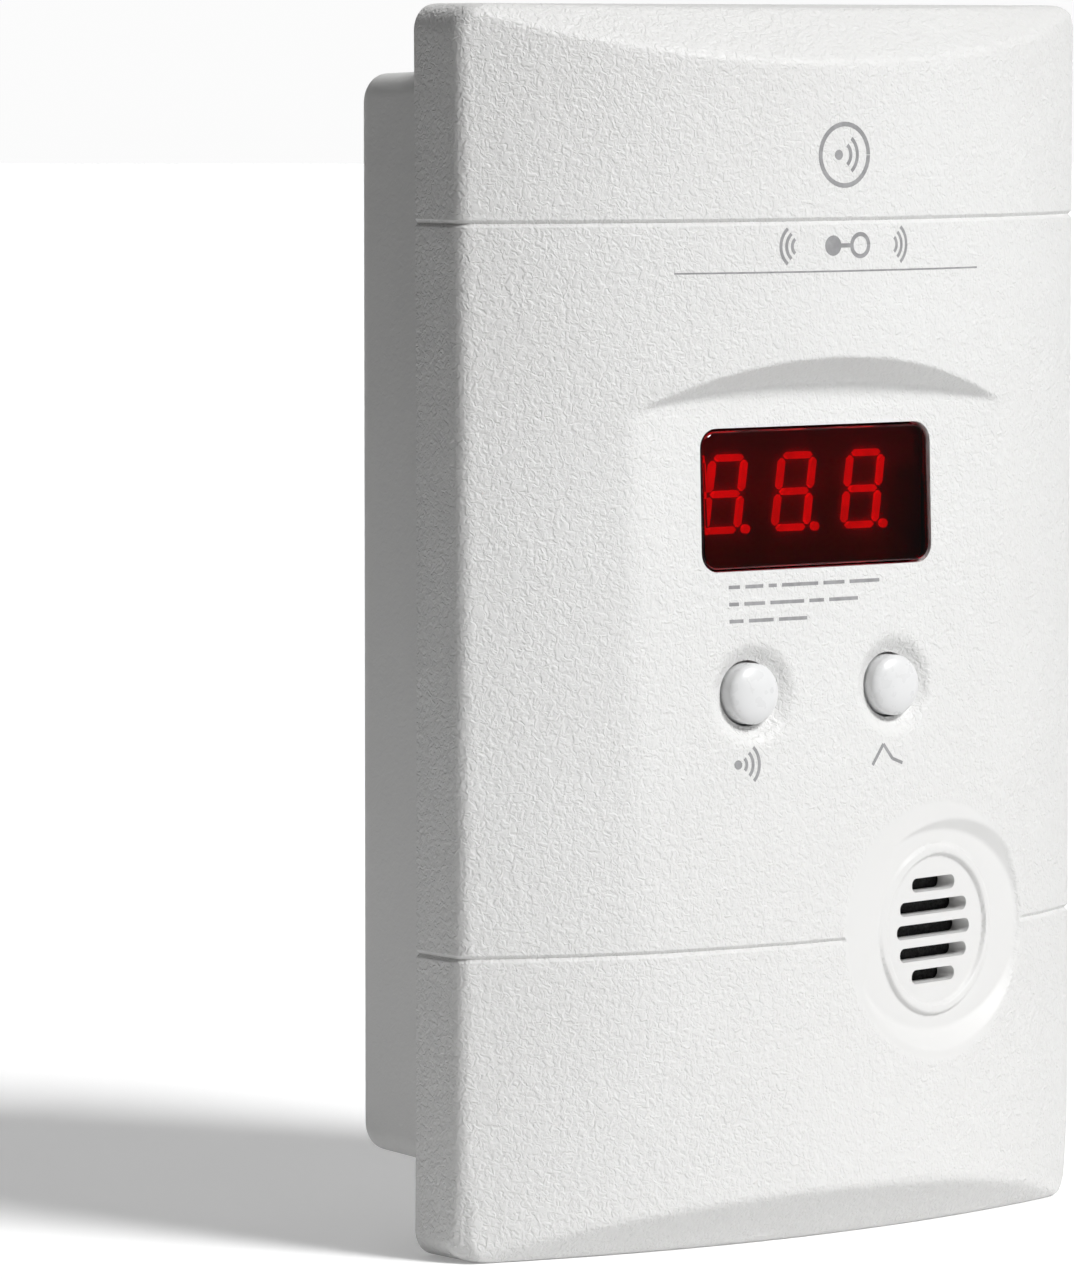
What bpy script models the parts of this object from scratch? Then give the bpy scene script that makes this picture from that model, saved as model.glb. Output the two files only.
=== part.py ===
"""Plug-in carbon monoxide alarm with a three-digit display, two push buttons and a battery bay.

Sizes are in millimetres in the case frame: X to the right seen from the front, Y from the crown of the
curved front back to the wall, Z up from the bottom of the cover. The empty "case_frame" carries every
piece, and puts the world origin on the wall face, midway between the two plug blades.
"""
import math

import bmesh
import bpy
from mathutils import Vector

MM = 0.001
GAP = 0.3

# Overall size
WIDTH = 93.7
HEIGHT = 146.2
DEPTH = 40.6
WALL = 2.0

# Front cover
COVER_DEPTH = 21.4
FRONT_RADIUS = 90.7
EDGE_RADIUS = 2.5
OUTLINE_RADIUS = 3.2
FACET_SETBACK = 6.0
FACET_SLOPE = 1.12
FACET_RADIUS = 145.0
SEAM_HEIGHTS = (35.7, 120.8)
SEAM_HALF_WIDTH = 0.4
SEAM_DEPTH = 0.6

# Display
LENS_CENTRE = (-0.8, 88.3)
LENS_SIZE = (34.2, 16.2)
LENS_RADIUS = 2.0
LENS_THICKNESS = 1.6
LENS_SETBACK = 0.15
RECESS_CENTRE_X = -0.5
RECESS_HALF_WIDTH = 28.0
RECESS_ARC_RADIUS = 145.0
RECESS_TOP = 104.8
RECESS_WALL_SLOPE = 1.4
RECESS_FLOOR_Z = 99.0
RECESS_FLOOR_Y = 4.3
RECESS_LEAN = 0.05
RECESS_FOOT = 14.0
RECESS_WALL = 2.2
DIGIT_FACE_SETBACK = 4.75
DIGIT_CENTRE = (-0.9, 88.6)
DIGIT_HEIGHT = 9.3
DIGIT_WIDTH = 5.6
DIGIT_PITCH = 10.3
DIGIT_SLANT = math.radians(7.0)
SEGMENT_WIDTH = 0.9
DIGIT_POINT_X = 3.1
MODULE_BACK = 12.3
MODULE_HALF_SIZE = (19.4, 7.9)

# Buttons
BUTTONS = {"test": -11.2, "peak": 10.2}
BUTTON_HEIGHT = 65.5
BUTTON_HOLE_RADIUS = 3.9
BUTTON_DISH_RADIUS = 5.9
BUTTON_DISH_DEPTH = 1.3
BUTTON_PROUD = 1.2
BUTTON_DOME = 1.3
BUTTON_COLLAR_BACK = 5.4
BUTTON_STEM_END = 10.3

# Sounder
SOUNDER_X = 17.1
SOUNDER_Z = 35.8
SOUNDER_HALF_SIZE = (19.3, 15.0)
SOUNDER_WALL_DEPTH = 9.0
SOUNDER_DEPTH = 1.8
SOUNDER_BACK = 4.4
SOUNDER_BACK_RADIUS = 16.7
SLOT_COUNT = 5
SLOT_PITCH = 2.75
SLOT_HALF_WIDTH = 0.85
SLOT_REACH = 6.8

# Rear housing
PAN_HALF_WIDTH = 42.0
PAN_BOTTOM = 9.4
PAN_TOP = 138.6
PAN_CORNER = 3.0
PAN_DRAFT = math.tan(math.radians(2.0))
PAN_BACK_RADIUS = 2.5
FLANGE_FRONT = 19.2
FLANGE_BACK = 21.2
PILLARS = ((-36.5, 17.8), (36.5, 17.8), (-36.5, 130.0), (36.5, 130.0))
PILLAR_RADIUS = 4.0
PILLAR_FRONT = 18.2
COUNTERBORE_FLOOR = 30.0
VENT_COUNT = 6
VENT_PITCH = 4.2
VENT_Z = (112.5, 127.5)
LABEL_Z = (50.5, 77.5)
LABEL_HALF_WIDTH = 30.0

# Plug
PLUG_HEIGHT = 95.0
PLUG_BASE = (34.0, 24.0)
PLUG_BASE_RIM = 2.0
PLUG_BASE_FRONT = 33.0
BLADE_SPACING = 12.7
BLADE_THICKNESS = 1.5
BLADE_WIDTH = 6.35
BLADE_REACH = 17.5
BLADE_ROOT = 27.0

# Battery bay
BAY_HALF_WIDTH = 26.0
BAY_Z = (15.9, 45.0)
BAY_FLOOR = 19.9
BAY_WALL = 1.5
BATTERY_SIZE = (46.4, 17.5, 26.5)
DOOR_HALF_WIDTH = 27.0
DOOR_TOP = 46.0
DOOR_THICKNESS = 2.0
HINGE_Y = 39.2
HINGE_Z = 15.0
HINGE_RADIUS = 1.4
HINGE_PIN_RADIUS = 0.8

# Boards and what is on them
BOARD_THICKNESS = 1.6
MAIN_BOARD_Y = 15.9
MAIN_BOARD_HALF_WIDTH = 31.0
MAIN_BOARD_Z = (14.0, 132.0)
POWER_BOARD_Y = 20.2
POWER_BOARD_Z = (50.0, 108.0)
BOARD_BOSSES = ((-27.0, 58.0), (27.0, 112.0))
SENSOR_CENTRE = (14.0, 121.0)
SENSOR_RADIUS = 9.5
TRANSFORMER_CENTRE = (0.0, 29.8, 66.0)

FINISHES = {
    "case": ((0.80, 0.80, 0.79), 0.55, 0.0),
    "button": ((0.84, 0.85, 0.85), 0.35, 0.0),
    "lens": ((0.10, 0.0, 0.005), 0.08, 0.0),
    "digit": ((0.85, 0.02, 0.02), 0.4, 0.0),
    "black_plastic": ((0.02, 0.02, 0.02), 0.45, 0.0),
    "board": ((0.03, 0.18, 0.07), 0.4, 0.0),
    "steel": ((0.62, 0.62, 0.62), 0.3, 1.0),
    "brass": ((0.72, 0.53, 0.24), 0.3, 1.0),
    "copper": ((0.72, 0.36, 0.16), 0.35, 1.0),
    "core": ((0.16, 0.15, 0.15), 0.5, 0.6),
    "label": ((0.72, 0.73, 0.74), 0.4, 0.3),
    "sleeve": ((0.03, 0.05, 0.16), 0.35, 0.0),
    "battery": ((0.06, 0.06, 0.07), 0.3, 0.2),
}


def clear_scene():
    """Start from an empty scene with one empty that carries the case frame."""
    for obj in list(bpy.data.objects):
        bpy.data.objects.remove(obj, do_unlink=True)
    frame = bpy.data.objects.new("case_frame", None)
    frame.location = Vector((0.0, -DEPTH, -PLUG_HEIGHT)) * MM
    bpy.context.scene.collection.objects.link(frame)
    return frame


def put_in_scene(name, bm, frame, origin=(0.0, 0.0, 0.0)):
    """Turn a bmesh drawn in the case frame into an object with its origin at the given case point."""
    bmesh.ops.translate(bm, verts=bm.verts, vec=-Vector(origin))
    bmesh.ops.scale(bm, verts=bm.verts, vec=(MM, MM, MM))
    bmesh.ops.recalc_face_normals(bm, faces=bm.faces)
    mesh = bpy.data.meshes.new(name)
    bm.to_mesh(mesh)
    bm.free()
    mesh.shade_smooth()
    mesh.set_sharp_from_angle(angle=math.radians(35.0))
    obj = bpy.data.objects.new(name, mesh)
    obj.parent = frame
    obj.location = Vector(origin) * MM
    bpy.context.scene.collection.objects.link(obj)
    return obj


def give_finish(obj, finish):
    """Give an object its own Principled material."""
    colour, roughness, metallic = FINISHES[finish]
    material = bpy.data.materials.new(obj.name + "_" + finish)
    material.use_nodes = True
    shader = material.node_tree.nodes["Principled BSDF"]
    shader.inputs["Base Color"].default_value = (*colour, 1.0)
    shader.inputs["Roughness"].default_value = roughness
    shader.inputs["Metallic"].default_value = metallic
    obj.data.materials.append(material)
    return obj


def combine(obj, tool, operation):
    """Cut, join or intersect an object with a hidden tool body."""
    tool.hide_render = True
    tool.display_type = "WIRE"
    modifier = obj.modifiers.new(tool.name, "BOOLEAN")
    modifier.operation = operation
    modifier.solver = "EXACT"
    modifier.object = tool


def loft(bm, rings):
    """Skin a run of matching rings and cap both ends."""
    layers = [[bm.verts.new(point) for point in ring] for ring in rings]
    count = len(layers[0])
    for lower, upper in zip(layers, layers[1:]):
        for i in range(count):
            j = (i + 1) % count
            bm.faces.new((lower[i], lower[j], upper[j], upper[i]))
    bm.faces.new(list(reversed(layers[0])))
    bm.faces.new(layers[-1])


def placed(point, level, axis):
    """Put a flat point at a level along an axis; the flat coordinates keep their X, Y, Z order."""
    a, b = point
    if axis == "X":
        return (level, a, b)
    if axis == "Y":
        return (a, level, b)
    return (a, b, level)


def prism(bm, outline, low, high, axis):
    """Extrude a flat outline along an axis between two levels."""
    loft(bm, [[placed(point, level, axis) for point in outline] for level in (low, high)])


def box(bm, low, high):
    """Add a box between two corners."""
    outline = ((low[0], low[1]), (high[0], low[1]), (high[0], high[1]), (low[0], high[1]))
    prism(bm, outline, low[2], high[2], "Z")


def arc(centre, radius, start, end, steps):
    """Points along an arc, angles in radians from the first flat axis towards the second."""
    angles = [start + (end - start) * i / steps for i in range(steps + 1)]
    return [(centre[0] + radius * math.cos(a), centre[1] + radius * math.sin(a)) for a in angles]


def rounded_rectangle(low, high, radius, steps):
    """Outline of a rectangle with round corners between two flat corners."""
    corners = (
        (high[0] - radius, high[1] - radius),
        (low[0] + radius, high[1] - radius),
        (low[0] + radius, low[1] + radius),
        (high[0] - radius, low[1] + radius),
    )
    points = []
    for quarter, centre in enumerate(corners):
        start = quarter * math.pi / 2.0
        points += arc(centre, radius, start, start + math.pi / 2.0, steps)
    return points


def turned(bm, profile, foot, direction, segments):
    """Turn a profile of (radius, distance) pairs about an axis that starts at foot."""
    turn = Vector(direction).to_track_quat("Z", "Y")
    foot = Vector(foot)
    rings = []
    for radius, distance in profile:
        ring = []
        for i in range(segments):
            angle = 2.0 * math.pi * i / segments
            flat = Vector((radius * math.cos(angle), radius * math.sin(angle), distance))
            ring.append(foot + turn @ flat)
        rings.append(ring)
    loft(bm, rings)


def cylinder(bm, foot, direction, radius, length, segments):
    """Add a plain round bar."""
    turned(bm, ((radius, 0.0), (radius, length)), foot, direction, segments)


def front_y(x, inset=0.0):
    """Y of the curved front, or of a surface parallel to it further in."""
    return FRONT_RADIUS - math.sqrt((FRONT_RADIUS - inset) ** 2 - x * x)


def plan(inset, back, arc_steps=18, edge_steps=3):
    """Open outline of the cover seen from above, from its left rear corner round to its right one."""
    half = WIDTH / 2.0 - inset
    radius = FRONT_RADIUS - inset
    edge = max(EDGE_RADIUS - inset, 0.5)
    edge_x = half - edge
    edge_y = FRONT_RADIUS - math.sqrt((radius - edge) ** 2 - edge_x ** 2)
    limit = math.asin(edge_x / (radius - edge))
    right = []
    for i in range(arc_steps // 2 + 1):
        angle = limit * i / (arc_steps // 2)
        right.append((radius * math.sin(angle), FRONT_RADIUS - radius * math.cos(angle)))
    right += arc((edge_x, edge_y), edge, limit - math.pi / 2.0, 0.0, edge_steps)[1:]
    right.append((half, back))
    left = [(-x, y) for x, y in reversed(right[1:])]
    return left + right


def cover_outline(inset):
    """Outline of the cover seen from the front."""
    half = WIDTH / 2.0 - inset
    radius = max(OUTLINE_RADIUS - inset, 1.0)
    return rounded_rectangle((-half, inset), (half, HEIGHT - inset), radius, 4)


def facet_tool(name, frame, setback, top):
    """Body in front of the sloped facet along the cover's bottom or top edge."""
    steps = 16
    reach = 52.0
    overshoot = 10.0
    rise = 24.0
    curve = []
    for i in range(steps + 1):
        x = -reach + 2.0 * reach * i / steps
        curve.append((x, setback + overshoot / FACET_SLOPE + x * x / (2.0 * FACET_RADIUS)))
    outline = curve + [(reach, -60.0), (-reach, -60.0)]
    low = [(x, y, -overshoot) for x, y in outline]
    high = [(x, y - rise / FACET_SLOPE, rise - overshoot) for x, y in outline]
    if top:
        low = [(x, y, HEIGHT - z) for x, y, z in low]
        high = [(x, y, HEIGHT - z) for x, y, z in high]
    bm = bmesh.new()
    loft(bm, [low, high])
    return put_in_scene(name, bm, frame)


def cover_body(name, frame, inset, back):
    """Solid with the cover's outer form, or the same form set in by a wall."""
    bm = bmesh.new()
    prism(bm, plan(inset, back), -1.0, HEIGHT + 1.0, "Z")
    body = put_in_scene(name, bm, frame)
    bm = bmesh.new()
    prism(bm, cover_outline(inset), -3.0, back + 1.0, "Y")
    combine(body, put_in_scene(name + "_outline", bm, frame), "INTERSECT")
    setback = FACET_SETBACK + inset * math.hypot(1.0, 1.0 / FACET_SLOPE)
    for top in (False, True):
        side = "_top" if top else "_bottom"
        combine(body, facet_tool(name + side, frame, setback, top), "DIFFERENCE")
    return body


def recess_middle_y(z):
    """Y of the display recess on its centre line; it leans and runs out below the sounder."""
    return RECESS_FLOOR_Y - RECESS_LEAN * (RECESS_FLOOR_Z - z)


def recess_floor_y(x, z):
    """Y of the flattened floor, which meets the curved front along both sides."""
    middle = recess_middle_y(z)
    share = (x - RECESS_CENTRE_X) / RECESS_HALF_WIDTH
    return middle + (front_y(RECESS_HALF_WIDTH) - middle) * share * share


def recess_tool(frame):
    """Body in front of the flattened floor, trimmed by the sloped, arched wall above it."""
    columns = 14
    rows = 10
    reach = 34.0
    rings = []
    for k in range(rows + 1):
        z = RECESS_FOOT + (RECESS_TOP + 8.0 - RECESS_FOOT) * k / rows
        across = [RECESS_CENTRE_X - reach + 2.0 * reach * i / columns for i in range(columns + 1)]
        ring = [(x, recess_floor_y(x, z), z) for x in across]
        ring += [(across[-1], -12.0, z), (across[0], -12.0, z)]
        rings.append(ring)
    bm = bmesh.new()
    loft(bm, rings)
    bmesh.ops.triangulate(bm, faces=bm.faces)
    tool = put_in_scene("recess_cut", bm, frame)
    bm = bmesh.new()
    centre = (RECESS_CENTRE_X, RECESS_TOP - RECESS_ARC_RADIUS)
    span = math.radians(16.0)
    rings = []
    for depth in (-8.0, 9.0):
        radius = RECESS_ARC_RADIUS - depth / RECESS_WALL_SLOPE
        outline = arc(centre, radius, math.pi / 2.0 - span, math.pi / 2.0 + span, 32)
        outline += [(outline[-1][0], 0.0), (outline[0][0], 0.0)]
        rings.append([(x, depth, z) for x, z in outline])
    loft(bm, rings)
    bmesh.ops.triangulate(bm, faces=bm.faces)
    combine(tool, put_in_scene("recess_arch", bm, frame), "INTERSECT")
    return tool


def sounder_axis():
    """Foot on the curved front and inward direction of the sounder's axis."""
    angle = math.asin(SOUNDER_X / FRONT_RADIUS)
    foot = Vector((SOUNDER_X, front_y(SOUNDER_X), SOUNDER_Z))
    return foot, Vector((-math.sin(angle), math.cos(angle), 0.0))


def sounder_recess_tool(frame):
    """Oval body with sloped walls that leaves a flat floor square to the sounder's axis."""
    foot, inward = sounder_axis()
    across = Vector((inward.y, -inward.x, 0.0))
    rings = []
    for depth in (-3.0, SOUNDER_DEPTH):
        share = 1.0 - depth / SOUNDER_WALL_DEPTH
        ring = []
        for a, b in arc((0.0, 0.0), share, 0.0, 2.0 * math.pi, 56)[:-1]:
            flat = across * (a * SOUNDER_HALF_SIZE[0]) + Vector((0.0, 0.0, b * SOUNDER_HALF_SIZE[1]))
            ring.append(foot + inward * depth + flat)
        rings.append(ring)
    bm = bmesh.new()
    loft(bm, rings)
    return put_in_scene("sounder_dish", bm, frame)


def sounder_slots_tool(frame):
    """Level slots whose ends follow a circle."""
    foot, inward = sounder_axis()
    across = Vector((inward.y, -inward.x, 0.0))
    bm = bmesh.new()
    for i in range(SLOT_COUNT):
        offset = (i - (SLOT_COUNT - 1) / 2.0) * SLOT_PITCH
        half_length = math.sqrt(SLOT_REACH ** 2 - offset ** 2)
        outline = rounded_rectangle(
            (-half_length, offset - SLOT_HALF_WIDTH), (half_length, offset + SLOT_HALF_WIDTH), 0.8, 2
        )
        rings = []
        for depth in (SOUNDER_DEPTH - 1.5, SOUNDER_BACK + 1.0):
            rings.append([foot + inward * depth + across * a + Vector((0.0, 0.0, b)) for a, b in outline])
        loft(bm, rings)
    return put_in_scene("sounder_slots", bm, frame)


def seam_tool(frame):
    """Two grooves that run across the front and back along both sides."""
    outside = plan(-1.0, COVER_DEPTH + 2.0)
    inside = plan(SEAM_DEPTH, COVER_DEPTH + 2.0)
    outline = outside + list(reversed(inside))
    bm = bmesh.new()
    for height in SEAM_HEIGHTS:
        prism(bm, outline, height - SEAM_HALF_WIDTH, height + SEAM_HALF_WIDTH, "Z")
    return put_in_scene("seam_grooves", bm, frame)


def cavity_keepers(frame):
    """Bodies that stay solid inside the cover: bosses and collars, then the backing of each recess."""
    bm = bmesh.new()
    for x, z in PILLARS:
        cylinder(bm, (x, 0.0, z), (0.0, 1.0, 0.0), 3.6, PILLAR_FRONT - 0.6, 20)
    for x, z in BOARD_BOSSES:
        cylinder(bm, (x, 0.0, z), (0.0, 1.0, 0.0), 2.6, MAIN_BOARD_Y - GAP, 16)
    for x in BUTTONS.values():
        cylinder(bm, (x, -1.0, BUTTON_HEIGHT), (0.0, 1.0, 0.0), 6.6, BUTTON_COLLAR_BACK + 1.0, 24)
    bosses = put_in_scene("cover_bosses", bm, frame)
    foot, inward = sounder_axis()
    bm = bmesh.new()
    cylinder(bm, foot - inward, inward, SOUNDER_BACK_RADIUS, SOUNDER_BACK + 1.0, 40)
    sounder_backing = put_in_scene("sounder_backing", bm, frame)
    low, high = RECESS_FOOT - 2.0, RECESS_TOP + 2.7
    back = [recess_middle_y(z) + RECESS_WALL for z in (low, high)]
    outline = ((-2.0, low), (back[0], low), (back[1], high), (-2.0, high))
    bm = bmesh.new()
    prism(bm, outline, RECESS_CENTRE_X - 30.0, RECESS_CENTRE_X + 30.0, "X")
    return bosses, sounder_backing, put_in_scene("recess_backing", bm, frame)


def front_cover(frame):
    """Curved front shell with its seams, recesses, window, button holes and sounder slots."""
    cover = cover_body("front_cover", frame, 0.0, COVER_DEPTH)
    cavity = cover_body("cover_cavity", frame, WALL, COVER_DEPTH + 1.0)
    for keeper in cavity_keepers(frame):
        combine(cavity, keeper, "DIFFERENCE")
    combine(cover, cavity, "DIFFERENCE")
    combine(cover, recess_tool(frame), "DIFFERENCE")
    combine(cover, seam_tool(frame), "DIFFERENCE")

    combine(cover, sounder_recess_tool(frame), "DIFFERENCE")
    combine(cover, sounder_slots_tool(frame), "DIFFERENCE")

    bm = bmesh.new()
    for x in BUTTONS.values():
        surface = recess_floor_y(x, BUTTON_HEIGHT)
        slope = (BUTTON_DISH_RADIUS - BUTTON_HOLE_RADIUS) / BUTTON_DISH_DEPTH
        profile = (
            (BUTTON_DISH_RADIUS + slope, surface - 1.0),
            (BUTTON_HOLE_RADIUS, surface + BUTTON_DISH_DEPTH),
            (BUTTON_HOLE_RADIUS, 8.0),
        )
        turned(bm, profile, (x, 0.0, BUTTON_HEIGHT), (0.0, 1.0, 0.0), 28)
    combine(cover, put_in_scene("button_holes", bm, frame), "DIFFERENCE")

    bm = bmesh.new()
    half_width = LENS_SIZE[0] / 2.0 + GAP
    half_height = LENS_SIZE[1] / 2.0 + GAP
    low = (LENS_CENTRE[0] - half_width, LENS_CENTRE[1] - half_height)
    high = (LENS_CENTRE[0] + half_width, LENS_CENTRE[1] + half_height)
    prism(bm, rounded_rectangle(low, high, LENS_RADIUS + GAP, 3), -4.0, 8.0, "Y")
    for x, z in PILLARS:
        cylinder(bm, (x, front_y(x, WALL) + 2.4, z), (0.0, 1.0, 0.0), 1.8, 14.0, 14)
    for x, z in BOARD_BOSSES:
        cylinder(bm, (x, front_y(x, WALL) + 1.8, z), (0.0, 1.0, 0.0), 1.4, 14.0, 12)
    combine(cover, put_in_scene("window_and_bores", bm, frame), "DIFFERENCE")
    return give_finish(cover, "case")


def pan_ring(y, inset):
    """Outline of the rear housing at one depth."""
    low = (-PAN_HALF_WIDTH + inset, PAN_BOTTOM + inset)
    high = (PAN_HALF_WIDTH - inset, PAN_TOP - inset)
    outline = rounded_rectangle(low, high, PAN_CORNER, 4)
    return [(x, y, z) for x, z in outline]


def pan_rings(wall, front):
    """Rings of the drafted pan with a rounded rear edge, set in by a wall thickness."""
    back = DEPTH - wall
    radius = max(PAN_BACK_RADIUS - wall, 1.0)
    rings = [pan_ring(front, wall)]
    steps = 3
    for i in range(steps + 1):
        angle = math.pi / 2.0 * i / steps
        y = back - radius + radius * math.sin(angle)
        draft = (back - radius - FLANGE_BACK) * PAN_DRAFT
        rings.append(pan_ring(y, wall + draft + radius * (1.0 - math.cos(angle))))
    return rings


def rear_housing(frame):
    """Drafted pan with its flange, screw pillars, battery bay, vents and plug opening."""
    bm = bmesh.new()
    loft(bm, pan_rings(0.0, FLANGE_FRONT))
    housing = put_in_scene("rear_housing", bm, frame)
    bm = bmesh.new()
    prism(bm, cover_outline(WALL + GAP), FLANGE_FRONT, FLANGE_BACK, "Y")
    combine(housing, put_in_scene("housing_flange", bm, frame), "UNION")

    bm = bmesh.new()
    loft(bm, pan_rings(WALL, FLANGE_FRONT - 2.0))
    cavity = put_in_scene("housing_cavity", bm, frame)
    bm = bmesh.new()
    for x, z in PILLARS:
        cylinder(bm, (x, 15.0, z), (0.0, 1.0, 0.0), PILLAR_RADIUS, 25.0, 20)
    half = BAY_HALF_WIDTH + BAY_WALL
    box(bm, (-half, 15.0, 5.0), (half, 40.0, BAY_Z[1] + BAY_WALL))
    for x in (-26.0, 26.0):
        for z in (56.0, 103.0):
            cylinder(bm, (x, POWER_BOARD_Y + BOARD_THICKNESS + GAP, z), (0.0, 1.0, 0.0), 2.8, 18.0, 14)
    combine(cavity, put_in_scene("housing_keepers", bm, frame), "DIFFERENCE")
    bm = bmesh.new()
    for side in (-1.0, 1.0):
        inner, outer = sorted((side * 27.2, side * 31.5))
        box(bm, (inner, 36.4, 5.0), (outer, 40.0, 17.4))
    combine(cavity, put_in_scene("hinge_keepers", bm, frame), "DIFFERENCE")
    combine(housing, cavity, "DIFFERENCE")

    bm = bmesh.new()
    box(bm, (-60.0, 10.0, -10.0), (60.0, PILLAR_FRONT, 160.0))
    combine(housing, put_in_scene("front_trim", bm, frame), "DIFFERENCE")

    bm = bmesh.new()
    for x, z in PILLARS:
        profile = ((1.9, 10.0), (1.9, COUNTERBORE_FLOOR), (3.3, COUNTERBORE_FLOOR), (3.3, DEPTH + 2.0))
        turned(bm, profile, (x, 0.0, z), (0.0, 1.0, 0.0), 20)
    half_width = PLUG_BASE[0] / 2.0 + GAP
    half_height = PLUG_BASE[1] / 2.0 + GAP
    low = (-half_width, PLUG_HEIGHT - half_height)
    high = (half_width, PLUG_HEIGHT + half_height)
    prism(bm, rounded_rectangle(low, high, 3.0, 3), 36.0, DEPTH + 2.0, "Y")
    for i in range(VENT_COUNT):
        for side in (-1.0, 1.0):
            x = side * (5.0 + i * VENT_PITCH)
            box(bm, (x - 0.9, 36.0, VENT_Z[0]), (x + 0.9, DEPTH + 2.0, VENT_Z[1]))
    box(bm, (-LABEL_HALF_WIDTH - GAP, DEPTH - 0.7, LABEL_Z[0] - GAP),
        (LABEL_HALF_WIDTH + GAP, DEPTH + 2.0, LABEL_Z[1] + GAP))
    combine(housing, put_in_scene("back_openings", bm, frame), "DIFFERENCE")

    bm = bmesh.new()
    box(bm, (-BAY_HALF_WIDTH, BAY_FLOOR, BAY_Z[0]), (BAY_HALF_WIDTH, 39.5, BAY_Z[1]))
    combine(housing, put_in_scene("bay_hollow", bm, frame), "DIFFERENCE")
    bm = bmesh.new()
    door_half = DOOR_HALF_WIDTH + 0.4
    door_back = DEPTH - DOOR_THICKNESS - GAP
    opening = (
        (37.4, HINGE_Z - 1.95), (DEPTH + 2.0, HINGE_Z - 1.95), (DEPTH + 2.0, DOOR_TOP + 0.4),
        (door_back, DOOR_TOP + 0.4), (door_back, 17.2), (37.4, 17.2),
    )
    prism(bm, opening, -door_half, door_half, "X")
    combine(housing, put_in_scene("door_opening", bm, frame), "DIFFERENCE")
    bm = bmesh.new()
    cylinder(bm, (-29.6, HINGE_Y, HINGE_Z), (1.0, 0.0, 0.0), HINGE_PIN_RADIUS + GAP, 59.2, 16)
    combine(housing, put_in_scene("hinge_bores", bm, frame), "DIFFERENCE")
    return give_finish(housing, "case")


def lens_frame_y(z):
    """Y of the recess floor along the lens's centre line."""
    return recess_middle_y(z)


def display_lens(frame):
    """Flat tinted window with a bevelled rim, leaning with the recess floor."""
    half_width = LENS_SIZE[0] / 2.0
    half_height = LENS_SIZE[1] / 2.0
    rings = []
    for shrink, depth in ((0.5, 0.0), (0.0, 0.5), (0.0, LENS_THICKNESS)):
        low = (LENS_CENTRE[0] - half_width + shrink, LENS_CENTRE[1] - half_height + shrink)
        high = (LENS_CENTRE[0] + half_width - shrink, LENS_CENTRE[1] + half_height - shrink)
        outline = rounded_rectangle(low, high, LENS_RADIUS - shrink, 3)
        rings.append([(x, lens_frame_y(z) + LENS_SETBACK + depth, z) for x, z in outline])
    bm = bmesh.new()
    loft(bm, rings)
    return give_finish(put_in_scene("display_lens", bm, frame), "lens")


def segment_outline(start, end):
    """Pointed bar between two flat points, shortened so that neighbouring bars stay apart."""
    start = Vector(start)
    end = Vector(end)
    along = (end - start).normalized()
    side = Vector((-along.y, along.x)) * SEGMENT_WIDTH / 2.0
    trim = 0.2
    taper = SEGMENT_WIDTH / 2.0
    a = start + along * trim
    b = end - along * trim
    return [a, a + along * taper + side, b - along * taper + side, b, b - along * taper - side,
            a + along * taper - side]


def digit_segments(centre_x, centre_z):
    """Outlines of the seven bars of one slanted figure."""
    half_width = (DIGIT_WIDTH - SEGMENT_WIDTH) / 2.0
    half_height = (DIGIT_HEIGHT - SEGMENT_WIDTH) / 2.0
    nodes = [(side * half_width, level * half_height) for level in (1, 0, -1) for side in (-1, 1)]
    bars = ((0, 1), (2, 3), (4, 5), (0, 2), (1, 3), (2, 4), (3, 5))
    outlines = []
    for first, last in bars:
        outline = segment_outline(nodes[first], nodes[last])
        outlines.append([(centre_x + p.x + p.y * math.tan(DIGIT_SLANT), centre_z + p.y) for p in outline])
    return outlines


def digit(frame, number):
    """Light guide of one figure: a plate with seven raised bars and a raised point."""
    centre_x = DIGIT_CENTRE[0] + (number - 2) * DIGIT_PITCH
    centre_z = DIGIT_CENTRE[1]
    face = lens_frame_y(centre_z) + DIGIT_FACE_SETBACK
    bm = bmesh.new()
    half_width = DIGIT_PITCH / 2.0 - GAP / 2.0
    low = (centre_x - half_width, face + 0.3, centre_z - 6.2)
    high = (centre_x + half_width, face + 1.3, centre_z + 6.2)
    box(bm, low, high)
    plate = put_in_scene(f"digit_{number}", bm, frame)
    bm = bmesh.new()
    for outline in digit_segments(centre_x, centre_z):
        prism(bm, outline, face, face + 0.8, "Y")
    point = (centre_x + DIGIT_POINT_X, centre_z - DIGIT_HEIGHT / 2.0 + 0.5)
    prism(bm, arc(point, 0.55, 0.0, math.pi * 1.75, 7), face, face + 0.8, "Y")
    combine(plate, put_in_scene(f"digit_bars_{number}", bm, frame), "UNION")
    return give_finish(plate, "digit")


def display_module(frame):
    """Block that carries the three light guides."""
    face = lens_frame_y(LENS_CENTRE[1]) + DIGIT_FACE_SETBACK + 1.3 + GAP
    x = DIGIT_CENTRE[0]
    bm = bmesh.new()
    half_width, half_height = MODULE_HALF_SIZE
    low = (x - half_width, face, LENS_CENTRE[1] - half_height)
    high = (x + half_width, MODULE_BACK, LENS_CENTRE[1] + half_height)
    box(bm, low, high)
    return give_finish(put_in_scene("display_module", bm, frame), "black_plastic")


def display_socket(frame):
    """Pin strip between the display module and the main board."""
    x = DIGIT_CENTRE[0]
    bm = bmesh.new()
    low = (x - 13.0, MODULE_BACK + GAP, LENS_CENTRE[1] - 6.0)
    high = (x + 13.0, MAIN_BOARD_Y - GAP, LENS_CENTRE[1] + 6.0)
    box(bm, low, high)
    return give_finish(put_in_scene("display_socket", bm, frame), "black_plastic")


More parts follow.
